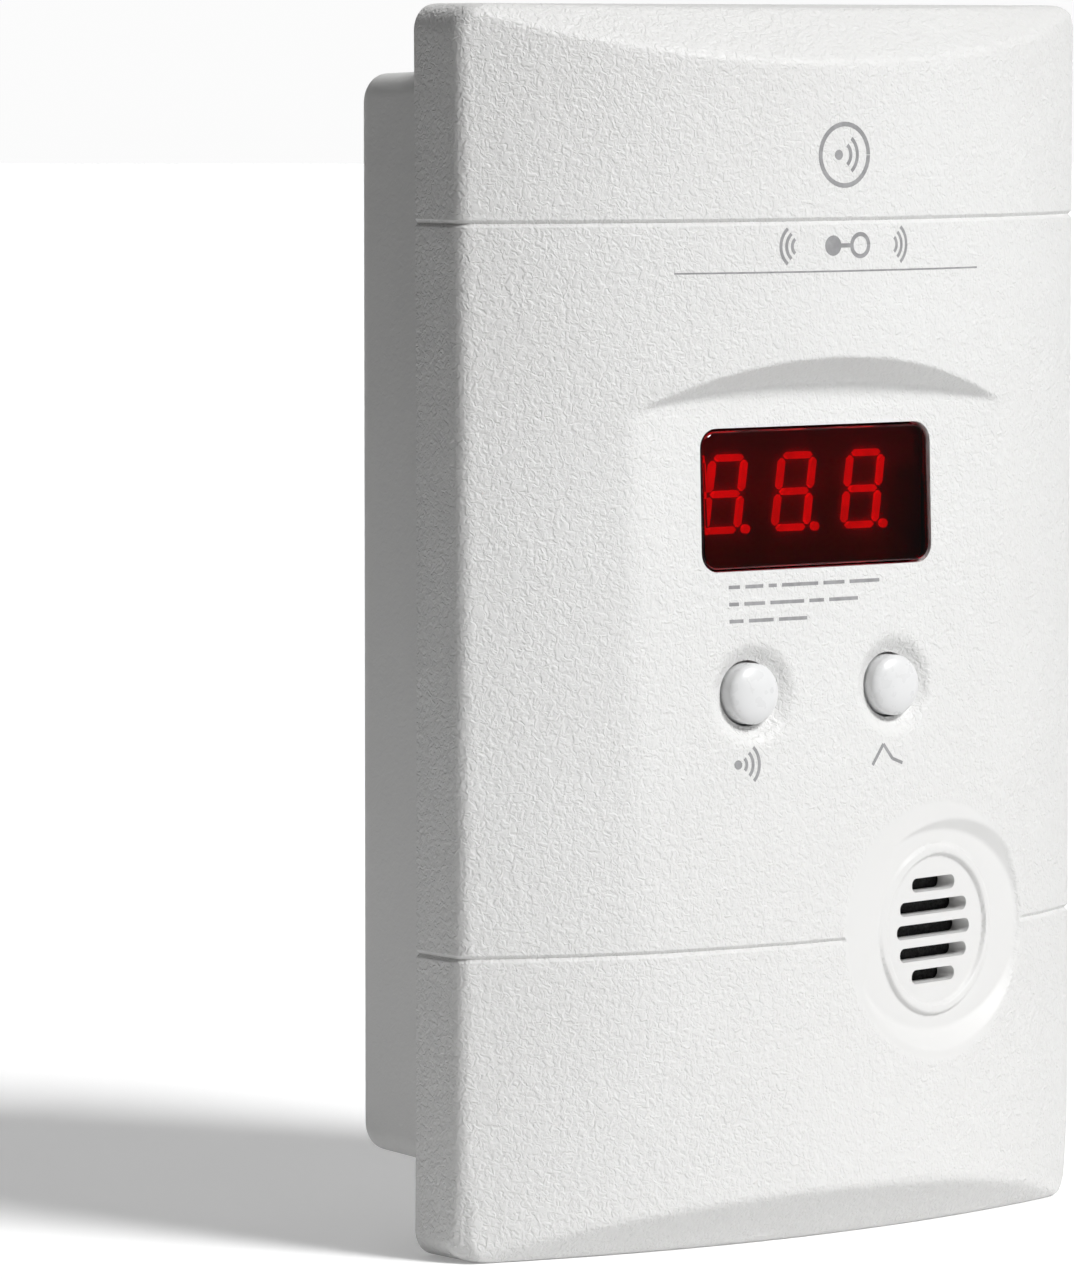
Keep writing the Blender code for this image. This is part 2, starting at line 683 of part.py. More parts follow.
def push_button(frame, name, x):
    """Domed cap with a retaining rim and a stem that reaches the switch."""
    radius = BUTTON_HOLE_RADIUS - GAP
    crown = recess_floor_y(x, BUTTON_HEIGHT) - BUTTON_PROUD
    shoulder = crown + BUTTON_DOME
    profile = [(0.25, crown)]
    steps = 5
    for i in range(1, steps + 1):
        angle = math.pi / 2.0 * i / steps
        profile.append((radius * math.sin(angle), shoulder - (shoulder - crown) * math.cos(angle)))
    rim = BUTTON_COLLAR_BACK + GAP
    profile += [(radius, rim), (4.9, rim), (4.9, rim + 1.2), (2.0, rim + 1.2), (2.0, BUTTON_STEM_END)]
    origin = (x, crown, BUTTON_HEIGHT)
    bm = bmesh.new()
    turned(bm, profile, (x, 0.0, BUTTON_HEIGHT), (0.0, 1.0, 0.0), 24)
    return give_finish(put_in_scene(f"{name}_button", bm, frame, origin), "button")


def switch_plunger(frame, name, x):
    """Round plunger that the button's stem presses."""
    bm = bmesh.new()
    cylinder(bm, (x, BUTTON_STEM_END + GAP, BUTTON_HEIGHT), (0.0, 1.0, 0.0), 1.7, 2.1, 16)
    origin = (x, BUTTON_STEM_END + GAP, BUTTON_HEIGHT)
    return give_finish(put_in_scene(f"{name}_switch_plunger", bm, frame, origin), "black_plastic")


def switch_body(frame, name, x):
    """Square switch body with a pocket for its plunger."""
    front = 12.1
    bm = bmesh.new()
    box(bm, (x - 3.0, front, BUTTON_HEIGHT - 3.0), (x + 3.0, MAIN_BOARD_Y - GAP, BUTTON_HEIGHT + 3.0))
    body = put_in_scene(f"{name}_switch_body", bm, frame)
    bm = bmesh.new()
    cylinder(bm, (x, front - 1.0, BUTTON_HEIGHT), (0.0, 1.0, 0.0), 2.0, 3.0, 16)
    combine(body, put_in_scene(f"{name}_switch_pocket", bm, frame), "DIFFERENCE")
    return give_finish(body, "steel")


def sounder_screen(frame):
    """Thin dust screen behind the sounder slots."""
    foot, inward = sounder_axis()
    bm = bmesh.new()
    cylinder(bm, foot + inward * (SOUNDER_BACK + GAP), inward, 12.6, 0.5, 32)
    return give_finish(put_in_scene("sounder_screen", bm, frame), "black_plastic")


def horn_housing(frame):
    """Round resonator cup, open to the front, with a ledge for the piezo disc."""
    foot, inward = sounder_axis()
    front = SOUNDER_BACK + GAP
    profile = ((14.6, front), (14.6, front + 6.0), (10.5, front + 6.0), (10.5, front + 4.0),
               (12.9, front + 4.0), (12.9, front))
    bm = bmesh.new()
    turn = inward.to_track_quat("Z", "Y")
    segments = 32
    rings = []
    for radius, distance in profile:
        angles = [2.0 * math.pi * i / segments for i in range(segments)]
        flat = [Vector((radius * math.cos(a), radius * math.sin(a), distance)) for a in angles]
        rings.append([bm.verts.new(foot + turn @ point) for point in flat])
    for k, first in enumerate(rings):
        second = rings[(k + 1) % len(rings)]
        for i in range(segments):
            j = (i + 1) % segments
            bm.faces.new((first[i], first[j], second[j], second[i]))
    return give_finish(put_in_scene("horn_housing", bm, frame), "black_plastic")


def piezo_disc(frame):
    """Brass sounder disc on the horn's ledge."""
    foot, inward = sounder_axis()
    bm = bmesh.new()
    cylinder(bm, foot + inward * (SOUNDER_BACK + 4.0 - 0.5), inward, 12.5, 0.5, 32)
    return give_finish(put_in_scene("piezo_disc", bm, frame), "brass")


def main_board(frame):
    """Circuit board behind the display, the switches and the sounder."""
    bm = bmesh.new()
    low = (-MAIN_BOARD_HALF_WIDTH, MAIN_BOARD_Z[0])
    high = (MAIN_BOARD_HALF_WIDTH, MAIN_BOARD_Z[1])
    prism(bm, rounded_rectangle(low, high, 2.0, 2), MAIN_BOARD_Y, MAIN_BOARD_Y + BOARD_THICKNESS, "Y")
    board = put_in_scene("main_board", bm, frame)
    bm = bmesh.new()
    for x, z in BOARD_BOSSES:
        cylinder(bm, (x, MAIN_BOARD_Y - 1.0, z), (0.0, 1.0, 0.0), 1.5, 4.0, 12)
    combine(board, put_in_scene("board_holes", bm, frame), "DIFFERENCE")
    return give_finish(board, "board")


def power_board(frame):
    """Smaller board for the mains supply, held on the housing's posts."""
    bm = bmesh.new()
    low = (-MAIN_BOARD_HALF_WIDTH, POWER_BOARD_Z[0])
    high = (MAIN_BOARD_HALF_WIDTH, POWER_BOARD_Z[1])
    prism(bm, rounded_rectangle(low, high, 2.0, 2), POWER_BOARD_Y, POWER_BOARD_Y + BOARD_THICKNESS, "Y")
    return give_finish(put_in_scene("power_board", bm, frame), "board")


def screw(frame, name, x, z, head_y, head_radius, head_height, shank_radius, tip_y):
    """Pan-head screw driven from the back, with a cross recess."""
    edge = 0.4
    profile = (
        (shank_radius * 0.5, tip_y), (shank_radius, tip_y + 1.2), (shank_radius, head_y),
        (head_radius, head_y), (head_radius, head_y + head_height - edge),
        (head_radius - edge, head_y + head_height),
    )
    bm = bmesh.new()
    turned(bm, profile, (x, 0.0, z), (0.0, 1.0, 0.0), 16)
    body = put_in_scene(name, bm, frame)
    top = head_y + head_height
    long, short = head_radius * 0.55, head_radius * 0.13
    bm = bmesh.new()
    cross = (
        (short, short), (short, long), (-short, long), (-short, short), (-long, short), (-long, -short),
        (-short, -short), (-short, -long), (short, -long), (short, -short), (long, -short), (long, short),
    )
    outline = [(x + a, z + b) for a, b in cross]
    prism(bm, outline, top - 0.7, top + 1.0, "Y")
    combine(body, put_in_scene(name + "_cross", bm, frame), "DIFFERENCE")
    return give_finish(body, "steel")


def sensor_cell(frame):
    """Round electrochemical cell on the back of the main board."""
    front = MAIN_BOARD_Y + BOARD_THICKNESS + GAP
    x, z = SENSOR_CENTRE
    profile = ((SENSOR_RADIUS - 0.4, front), (SENSOR_RADIUS, front + 0.4), (SENSOR_RADIUS, front + 13.0),
               (SENSOR_RADIUS - 0.4, front + 13.4))
    bm = bmesh.new()
    turned(bm, profile, (x, 0.0, z), (0.0, 1.0, 0.0), 32)
    return give_finish(put_in_scene("sensor_cell", bm, frame), "steel")


def sensor_cap(frame):
    """Filter cap over the end of the sensor cell, with seven gas holes."""
    back = MAIN_BOARD_Y + BOARD_THICKNESS + GAP + 13.4
    x, z = SENSOR_CENTRE
    bm = bmesh.new()
    cylinder(bm, (x, back - 5.0, z), (0.0, 1.0, 0.0), SENSOR_RADIUS + 1.3, 6.5, 32)
    cap = put_in_scene("sensor_cap", bm, frame)
    bm = bmesh.new()
    cylinder(bm, (x, back - 6.0, z), (0.0, 1.0, 0.0), SENSOR_RADIUS + GAP, 6.3, 32)
    combine(cap, put_in_scene("sensor_cap_hollow", bm, frame), "DIFFERENCE")
    bm = bmesh.new()
    centres = [(x, z)] + arc((x, z), 4.6, 0.0, math.pi * 5.0 / 3.0, 5)
    for a, b in centres:
        cylinder(bm, (a, back - 1.0, b), (0.0, 1.0, 0.0), 0.9, 5.0, 10)
    combine(cap, put_in_scene("sensor_cap_holes", bm, frame), "DIFFERENCE")
    return give_finish(cap, "black_plastic")


def chip(frame, name, x, z, width, height):
    """Moulded chip body with a chamfered top, on the back of the main board."""
    front = MAIN_BOARD_Y + BOARD_THICKNESS + GAP
    rings = []
    for shrink, y in ((0.3, front), (0.0, front + 0.6), (0.3, front + 1.4)):
        low = (x - width / 2.0 + shrink, z - height / 2.0 + shrink)
        high = (x + width / 2.0 - shrink, z + height / 2.0 - shrink)
        rings.append([(low[0], y, low[1]), (high[0], y, low[1]), (high[0], y, high[1]), (low[0], y, high[1])])
    bm = bmesh.new()
    loft(bm, rings)
    return give_finish(put_in_scene(name, bm, frame), "black_plastic")


def capacitor(frame, name, x, z, radius, length):
    """Electrolytic can standing on the power board, with the groove near its foot."""
    front = POWER_BOARD_Y + BOARD_THICKNESS + GAP
    profile = (
        (radius - 0.4, front), (radius, front + 0.4), (radius, front + 1.6), (radius - 0.5, front + 2.0),
        (radius, front + 2.4), (radius, front + length - 0.5), (radius - 0.5, front + length),
    )
    bm = bmesh.new()
    turned(bm, profile, (x, 0.0, z), (0.0, 1.0, 0.0), 20)
    return give_finish(put_in_scene(name, bm, frame), "sleeve")


def fuse(frame):
    """Small tubular fuse lying on the power board, with a cap at each end."""
    front = POWER_BOARD_Y + BOARD_THICKNESS + GAP
    profile = ((2.6, 0.0), (2.6, 4.0), (2.2, 4.4), (2.2, 13.6), (2.6, 14.0), (2.6, 18.0))
    bm = bmesh.new()
    turned(bm, profile, (-24.5, front + 2.6, 65.0), (0.0, 0.0, 1.0), 16)
    return give_finish(put_in_scene("fuse", bm, frame), "steel")


def varistor(frame):
    """Disc-shaped surge absorber standing on edge on the power board."""
    front = POWER_BOARD_Y + BOARD_THICKNESS + GAP
    bm = bmesh.new()
    profile = ((4.4, 0.0), (5.0, 0.6), (5.0, 2.9), (4.4, 3.5))
    turned(bm, profile, (22.0, front + 5.2, 80.0), (1.0, 0.0, 0.0), 20)
    return give_finish(put_in_scene("varistor", bm, frame), "sleeve")


def transformer_core(frame):
    """Laminated core with two windows."""
    x, y, z = TRANSFORMER_CENTRE
    bm = bmesh.new()
    box(bm, (x - 15.5, y - 5.0, z - 13.0), (x + 15.5, y + 5.0, z + 13.0))
    core = put_in_scene("transformer_core", bm, frame)
    bm = bmesh.new()
    for side in (-1.0, 1.0):
        inner, outer = sorted((x + side * 5.0, x + side * 10.5))
        box(bm, (inner, y - 7.0, z - 8.0), (outer, y + 7.0, z + 8.0))
    combine(core, put_in_scene("core_windows", bm, frame), "DIFFERENCE")
    return give_finish(core, "core")


def transformer_winding(frame):
    """Winding round the core's middle leg."""
    x, y, z = TRANSFORMER_CENTRE
    bm = bmesh.new()
    prism(bm, rounded_rectangle((x - 10.1, y - 7.7), (x + 10.1, y + 7.7), 2.0, 3), z - 7.6, z + 7.6, "Z")
    winding = put_in_scene("transformer_winding", bm, frame)
    bm = bmesh.new()
    box(bm, (x - 5.3, y - 5.3, z - 10.0), (x + 5.3, y + 5.3, z + 10.0))
    combine(winding, put_in_scene("winding_core", bm, frame), "DIFFERENCE")
    return give_finish(winding, "copper")


def plug_base(frame):
    """Insert flush with the back face, held from inside by its rim, with a slot for each blade."""
    bm = bmesh.new()
    rings = []
    rim_front = DEPTH - WALL - GAP - 2.0
    rim_back = DEPTH - WALL - GAP
    levels = ((0.0, PLUG_BASE_FRONT), (0.0, rim_front), (PLUG_BASE_RIM, rim_front), (PLUG_BASE_RIM, rim_back),
              (0.0, rim_back), (0.0, DEPTH))
    for grow, y in levels:
        low = (-PLUG_BASE[0] / 2.0 - grow, PLUG_HEIGHT - PLUG_BASE[1] / 2.0 - grow)
        high = (PLUG_BASE[0] / 2.0 + grow, PLUG_HEIGHT + PLUG_BASE[1] / 2.0 + grow)
        rings.append([(x, y, z) for x, z in rounded_rectangle(low, high, 2.7, 3)])
    loft(bm, rings)
    base = put_in_scene("plug_base", bm, frame)
    bm = bmesh.new()
    for side in (-1.0, 1.0):
        x = side * BLADE_SPACING / 2.0
        half_thickness = BLADE_THICKNESS / 2.0 + GAP
        half_width = BLADE_WIDTH / 2.0 + GAP
        box(bm, (x - half_thickness, PLUG_BASE_FRONT - 2.0, PLUG_HEIGHT - half_width),
            (x + half_thickness, DEPTH + 2.0, PLUG_HEIGHT + half_width))
    combine(base, put_in_scene("blade_slots", bm, frame), "DIFFERENCE")
    return give_finish(base, "case")


def blade(frame, name, side):
    """Flat plug blade with a tapered tip, a round hole and a narrow solder tail."""
    x = side * BLADE_SPACING / 2.0
    half = BLADE_WIDTH / 2.0
    tip = DEPTH + BLADE_REACH
    outline = (
        (BLADE_ROOT, PLUG_HEIGHT - 1.2), (PLUG_BASE_FRONT - 1.0, PLUG_HEIGHT - 1.2),
        (PLUG_BASE_FRONT - 1.0, PLUG_HEIGHT - half), (tip - 1.6, PLUG_HEIGHT - half),
        (tip, PLUG_HEIGHT - half + 1.4), (tip, PLUG_HEIGHT + half - 1.4), (tip - 1.6, PLUG_HEIGHT + half),
        (PLUG_BASE_FRONT - 1.0, PLUG_HEIGHT + half), (PLUG_BASE_FRONT - 1.0, PLUG_HEIGHT + 1.2),
        (BLADE_ROOT, PLUG_HEIGHT + 1.2),
    )
    bm = bmesh.new()
    prism(bm, outline, x - BLADE_THICKNESS / 2.0, x + BLADE_THICKNESS / 2.0, "X")
    body = put_in_scene(name, bm, frame)
    bm = bmesh.new()
    cylinder(bm, (x - 3.0, DEPTH + 11.8, PLUG_HEIGHT), (1.0, 0.0, 0.0), 1.6, 6.0, 16)
    combine(body, put_in_scene(name + "_hole", bm, frame), "DIFFERENCE")
    return give_finish(body, "brass")


def battery(frame):
    """Block battery lying in the bay, shifted to leave room for its studs."""
    width, thickness, height = BATTERY_SIZE
    x = -BAY_HALF_WIDTH + 0.6
    y = BAY_FLOOR + 0.6
    z = BAY_Z[0] + 0.5
    outline = rounded_rectangle((y, z), (y + thickness, z + height), 2.0, 3)
    bm = bmesh.new()
    prism(bm, outline, x, x + width, "X")
    return give_finish(put_in_scene("battery", bm, frame), "battery")


def battery_stud(frame, name, z_offset, radius, segments):
    """Snap stud on the battery's end."""
    width, thickness, height = BATTERY_SIZE
    x = -BAY_HALF_WIDTH + 0.6 + width + GAP
    y = BAY_FLOOR + 0.6 + thickness / 2.0
    z = BAY_Z[0] + 0.5 + height / 2.0 + z_offset
    bm = bmesh.new()
    cylinder(bm, (x, y, z), (1.0, 0.0, 0.0), radius, 1.9, segments)
    return give_finish(put_in_scene(name, bm, frame), "steel")


def battery_contact(frame, name, z_offset):
    """Bent contact strip on the bay's end wall."""
    x = BAY_HALF_WIDTH - GAP
    y = BAY_FLOOR + 0.6 + BATTERY_SIZE[1] / 2.0
    z = BAY_Z[0] + 0.5 + BATTERY_SIZE[2] / 2.0 + z_offset
    outline = ((x, y - 6.0), (x, y + 6.0), (x - 0.5, y + 6.0), (x - 0.5, y + 3.5), (x - 1.6, y + 1.2),
               (x - 1.6, y - 1.2), (x - 0.5, y - 3.5), (x - 0.5, y - 6.0))
    bm = bmesh.new()
    prism(bm, outline, z - 2.4, z + 2.4, "Z")
    return give_finish(put_in_scene(name, bm, frame), "steel")


def battery_door(frame):
    """Door with a hinge barrel along its lower edge, end pins, a latch tongue and grip grooves."""
    inner = DEPTH - DOOR_THICKNESS
    barrel = arc((HINGE_Y, HINGE_Z), HINGE_RADIUS, math.radians(-205.0), 0.0, 10)
    outline = barrel + [(DEPTH, DOOR_TOP), (inner, DOOR_TOP), (inner, HINGE_Z + HINGE_RADIUS)]
    bm = bmesh.new()
    prism(bm, outline, -DOOR_HALF_WIDTH, DOOR_HALF_WIDTH, "X")
    origin = (0.0, HINGE_Y, HINGE_Z)
    door = put_in_scene("battery_door", bm, frame, origin)
    bm = bmesh.new()
    cylinder(bm, (-29.2, HINGE_Y, HINGE_Z), (1.0, 0.0, 0.0), HINGE_PIN_RADIUS, 58.4, 12)
    combine(door, put_in_scene("hinge_pins", bm, frame), "UNION")
    bm = bmesh.new()
    tongue = ((36.4, 43.5), (37.2, 44.6), (inner + 0.5, 44.6), (inner + 0.5, 43.4), (37.2, 43.4))
    prism(bm, tongue, -6.0, 6.0, "X")
    combine(door, put_in_scene("door_tongue", bm, frame), "UNION")
    bm = bmesh.new()
    for i in range(4):
        z = 37.0 + i * 1.9
        box(bm, (-9.0, DEPTH - 0.5, z), (9.0, DEPTH + 1.0, z + 0.9))
    combine(door, put_in_scene("door_grip", bm, frame), "DIFFERENCE")
    return give_finish(door, "case")


def rating_label(frame):
    """Blank foil label in a shallow pocket on the back."""
    bm = bmesh.new()
    outline = rounded_rectangle((-LABEL_HALF_WIDTH, LABEL_Z[0]), (LABEL_HALF_WIDTH, LABEL_Z[1]), 1.5, 2)
    prism(bm, outline, DEPTH - 0.4, DEPTH - 0.1, "Y")
    return give_finish(put_in_scene("rating_label", bm, frame), "label")


def build():
    """Make every piece of the alarm."""
    frame = clear_scene()
    front_cover(frame)
    rear_housing(frame)
    display_lens(frame)
    for number in (1, 2, 3):
        digit(frame, number)
    display_module(frame)
    display_socket(frame)
    for name, x in BUTTONS.items():
        push_button(frame, name, x)
        switch_plunger(frame, name, x)
        switch_body(frame, name, x)
    sounder_screen(frame)
    horn_housing(frame)
    piezo_disc(frame)
    main_board(frame)
    power_board(frame)
    sensor_cell(frame)
    sensor_cap(frame)
    chip(frame, "microcontroller", -14.0, 120.0, 12.0, 12.0)
    chip(frame, "sounder_driver", -18.0, 34.0, 5.0, 6.2)
    capacitor(frame, "reservoir_capacitor", -23.5, 93.0, 5.0, 13.0)
    capacitor(frame, "filter_capacitor", 24.0, 95.0, 4.0, 11.0)
    fuse(frame)
    varistor(frame)
    transformer_core(frame)
    transformer_winding(frame)
    plug_base(frame)
    blade(frame, "blade_left", -1.0)
    blade(frame, "blade_right", 1.0)
    battery(frame)
    battery_stud(frame, "battery_stud_positive", -6.35, 2.8, 16)
    battery_stud(frame, "battery_stud_negative", 6.35, 3.9, 6)
    battery_contact(frame, "contact_positive", -6.35)
    battery_contact(frame, "contact_negative", 6.35)
    battery_door(frame)
    rating_label(frame)
    for number, (x, z) in enumerate(PILLARS, 1):
        screw(frame, f"case_screw_{number}", x, z, COUNTERBORE_FLOOR + GAP, 2.8, 2.2, 1.5, 14.0)
    for number, (x, z) in enumerate(BOARD_BOSSES, 1):
        head = MAIN_BOARD_Y + BOARD_THICKNESS + GAP
        screw(frame, f"board_screw_{number}", x, z, head, 2.2, 1.3, 1.1, 11.0)


build()
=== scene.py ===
"""Looks of the plug-in carbon monoxide alarm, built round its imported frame.

Sizes are in millimetres in the case frame: X to the right seen from the front, Y from the crown of the
curved front back to the wall, Z up from the bottom of the cover. Meshes are turned into metres in the row
frame as they are made.
"""
import math

import bmesh
import bpy
import numpy as np
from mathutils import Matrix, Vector


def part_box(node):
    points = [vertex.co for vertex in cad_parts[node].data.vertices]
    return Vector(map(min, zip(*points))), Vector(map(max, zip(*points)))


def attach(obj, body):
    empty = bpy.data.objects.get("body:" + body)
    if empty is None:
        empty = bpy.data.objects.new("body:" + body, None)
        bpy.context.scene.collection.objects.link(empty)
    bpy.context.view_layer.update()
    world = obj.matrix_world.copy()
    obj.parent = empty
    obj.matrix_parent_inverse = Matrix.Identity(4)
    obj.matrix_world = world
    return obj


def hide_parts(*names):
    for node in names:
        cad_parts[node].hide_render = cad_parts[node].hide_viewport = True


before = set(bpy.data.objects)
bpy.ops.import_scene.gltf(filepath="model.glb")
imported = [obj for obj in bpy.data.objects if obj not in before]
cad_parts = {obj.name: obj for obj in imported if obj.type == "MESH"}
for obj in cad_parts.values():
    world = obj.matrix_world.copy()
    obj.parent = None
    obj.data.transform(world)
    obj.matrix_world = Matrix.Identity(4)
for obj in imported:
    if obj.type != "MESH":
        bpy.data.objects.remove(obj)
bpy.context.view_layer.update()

MM = 0.001
COVER_LOW, COVER_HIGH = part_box("front_cover")
CASE = Vector((0.0, COVER_LOW.y, COVER_LOW.z))

# Sizes read from the frame
WIDTH = (COVER_HIGH.x - COVER_LOW.x) / MM
HEIGHT = (COVER_HIGH.z - COVER_LOW.z) / MM
COVER_DEPTH = (COVER_HIGH.y - COVER_LOW.y) / MM
DEPTH = (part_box("rear_housing")[1].y - COVER_LOW.y) / MM

# Front cover
WALL = 2.0
GAP = 0.3
FRONT_RADIUS = 90.7
EDGE_RADIUS = 2.5
OUTLINE_RADIUS = 3.2
RIM_RADIUS = 0.6
TOP_BOW = 0.45
SIDE_BOW = 0.3
FACET_SETBACK = 5.8
FACET_SLOPE = 1.12
FACET_RADIUS = 145.0
SEAM_HEIGHTS = (35.7, 120.8)
SEAM_HALF_WIDTH = 0.42
SEAM_DEPTH = 0.42

# Display
LENS_CENTRE = (-0.8, 88.3)
LENS_SIZE = (34.2, 16.2)
LENS_RADIUS = 2.0
LENS_SETBACK = 0.15
LENS_THICKNESS = 1.6
RECESS_CENTRE_X = -0.5
RECESS_HALF_WIDTH = 28.0
RECESS_ARC_RADIUS = 145.0
RECESS_TOP = 104.8
RECESS_WALL_SLOPE = 1.4
RECESS_FLOOR_Z = 99.0
RECESS_FLOOR_Y = 4.3
RECESS_LEAN = 0.05
RECESS_FOOT = 14.0
RECESS_WALL = 2.2
MODULE_SIZE = (38.8, 15.8)
DIGIT_FACE_SETBACK = 4.75
DIGIT_CENTRE = (-0.9, 88.6)
DIGIT_HEIGHT = 9.3
DIGIT_WIDTH = 5.6
DIGIT_PITCH = 10.3
DIGIT_SLANT = math.radians(7.0)
DIGIT_POINT_X = 3.1
SEGMENT_WIDTH = 0.9
BAR_WIDTH = 0.78
BAR_TRIM = 0.3
BAR_DEPTH = 0.8
POINT_RADIUS = 0.52

# Buttons
BUTTONS = {"test": -11.2, "peak": 10.2}
BUTTON_HEIGHT = 65.5
BUTTON_HOLE_RADIUS = 3.9
BUTTON_DISH_RADIUS = 6.3
BUTTON_DISH_DEPTH = 1.3
BUTTON_PROUD = 1.2
BUTTON_DOME = 1.3
BUTTON_COLLAR_BACK = 5.4
BUTTON_RIM = (5.7, 6.9)
BUTTON_RIM_RADIUS = 4.9
BUTTON_STEM_RADIUS = 2.0
BUTTON_STEM_END = 10.3

# Sounder
SOUNDER_X = 17.1
SOUNDER_Z = 35.8
SOUNDER_HALF_SIZE = (19.3, 15.0)
SOUNDER_WALL_DEPTH = 9.0
SOUNDER_DEPTH = 1.8
SOUNDER_BACK = 4.4
SOUNDER_BACK_RADIUS = 16.7
RING_RADIUS = 9.6
RING_HALF_WIDTH = 0.5
RING_HEIGHT = 0.5
SLOT_COUNT = 5
SLOT_PITCH = 2.75
SLOT_HALF_WIDTH = 0.85
SLOT_REACH = 6.8
SMOOTH_RADIUS = 16.4
SEAM_STOP_RADIUS = 15.9

# Rear housing
PAN_HALF_WIDTH = 42.0
PAN_BOTTOM = 9.4
PAN_TOP = 138.6
PAN_CORNER = 3.0
PAN_DRAFT = math.tan(math.radians(2.0))
PAN_BACK_RADIUS = 2.5
FLANGE_FRONT = 19.2
FLANGE_BACK = 21.2
PILLARS = ((-36.5, 17.8), (36.5, 17.8), (-36.5, 130.0), (36.5, 130.0))
PILLAR_FRONT = 18.2
COUNTERBORE_FLOOR = 30.0
VENT_COUNT = 6
VENT_PITCH = 4.2
VENT_Z = (112.5, 127.5)
LABEL_Z = (50.5, 77.5)
LABEL_HALF_WIDTH = 30.0
SCREW_TIP = 14.0
SCREW_PITCH = 1.2

# Plug
PLUG_HEIGHT = -CASE.z / MM
PLUG_BASE = (34.0, 24.0)
BLADE_SPACING = 12.7
BLADE_THICKNESS = 1.5
BLADE_WIDTH = 6.35
BLADE_REACH = 17.5

# Battery bay
BAY_HALF_WIDTH = 26.0
BAY_Z = (15.9, 45.0)
BAY_FLOOR = 19.9
DOOR_HALF_WIDTH = 27.0
DOOR_TOP = 46.0
DOOR_THICKNESS = 2.0
HINGE_Y = 39.2
HINGE_Z = 15.0
HINGE_RADIUS = 1.4
HINGE_PIN_RADIUS = 0.8
PIN_REACH = 29.2
BORE_REACH = 29.6

# Printing
INK_PROUD = 0.02
INK_SUNK = 0.03
BADGE_Z = 128.5
TITLE_Z = 117.9
RULE_Z = 114.9
NOTE_LEFT = -14.4
NOTE_GAP = 0.8
NOTE_ROWS = (
    (78.1, (1.6, 2.6, 1.2, 5.4, 3.2, 4.6)),
    (76.1, (1.4, 3.0, 5.0, 2.2, 4.4)),
    (74.1, (2.0, 3.6, 4.2)),
)
SIGN_Z = 57.3


# ---------------------------------------------------------------- mesh tools

def smooth_max(a, b, width):
    """Larger of two values, with the crease between them rounded over a width."""
    share = np.clip(0.5 + 0.5 * (a - b) / width, 0.0, 1.0)
    return b * (1.0 - share) + a * share + width * share * (1.0 - share)


def smooth_min(a, b, width):
    """Smaller of two values, with the crease rounded."""
    return -smooth_max(-a, -b, width)


def smooth_step(value):
    """Soft ramp from 0 to 1."""
    t = np.clip(value, 0.0, 1.0)
    return t * t * (3.0 - 2.0 * t)


def to_row(points):
    """Case millimetres to metres in the row frame."""
    return np.asarray(points, float).reshape(-1, 3) * MM + np.array(CASE)


def link_mesh(name, points, faces, sharp=35.0):
    """Object from case points and faces, smooth apart from edges sharper than an angle in degrees."""
    mesh = bpy.data.meshes.new(name)
    mesh.from_pydata(to_row(points).tolist(), [], faces)
    mesh.update()
    bm = bmesh.new()
    bm.from_mesh(mesh)
    bmesh.ops.recalc_face_normals(bm, faces=bm.faces)
    bm.to_mesh(mesh)
    bm.free()
    obj = bpy.data.objects.new(name, mesh)
    bpy.context.scene.collection.objects.link(obj)
    shade(obj, sharp)
    return obj


def shade(obj, sharp=35.0):
    """Smooth shading that keeps edges sharper than an angle in degrees."""
    obj.data.shade_smooth()
    obj.data.set_sharp_from_angle(angle=math.radians(sharp))


class Body:
    """Points and faces gathered for one object."""

    def __init__(self):
        self.points = []
        self.faces = []

    def loft(self, rings):
        """Skin matching rings, and cap both ends."""
        start = len(self.points)
        count = len(rings[0])
        for ring in rings:
            self.points += [tuple(p) for p in ring]
        for k in range(len(rings) - 1):
            a = start + k * count
            b = a + count
            for i in range(count):
                j = (i + 1) % count
                self.faces.append((a + i, a + j, b + j, b + i))
        last = start + (len(rings) - 1) * count
        self.faces.append(tuple(range(start + count - 1, start - 1, -1)))
        self.faces.append(tuple(range(last, last + count)))
        return self

    def prism(self, outline, low, high, axis):
        """Extrude a flat outline along an axis."""
        return self.loft([[placed(p, level, axis) for p in outline] for level in (low, high)])

    def box(self, low, high):
        """Add a box between two corners."""
        outline = ((low[0], low[1]), (high[0], low[1]), (high[0], high[1]), (low[0], high[1]))
        return self.prism(outline, low[2], high[2], "Z")

    def turned(self, profile, foot, direction, segments):
        """Turn a profile of (radius, distance) pairs about an axis."""
        turn = Vector(direction).to_track_quat("Z", "Y")
        foot = Vector(foot)
        rings = []
        for radius, distance in profile:
            ring = []
            for i in range(segments):
                angle = 2.0 * math.pi * i / segments
                reach = (radius * math.cos(angle), radius * math.sin(angle), distance)
                ring.append(foot + turn @ Vector(reach))
            rings.append(ring)
        return self.loft(rings)

    def make(self, name, sharp=35.0):
        """Turn the gathered shape into an object."""
        return link_mesh(name, self.points, self.faces, sharp)


def placed(point, level, axis):
    """Put a flat point at a level along an axis."""
    a, b = point
    if axis == "X":
        return (level, a, b)
    if axis == "Y":
        return (a, level, b)
    return (a, b, level)


def arc(centre, radius, start, end, steps):
    """Points along an arc."""
    angles = [start + (end - start) * i / steps for i in range(steps + 1)]
    return [(centre[0] + radius * math.cos(a), centre[1] + radius * math.sin(a)) for a in angles]


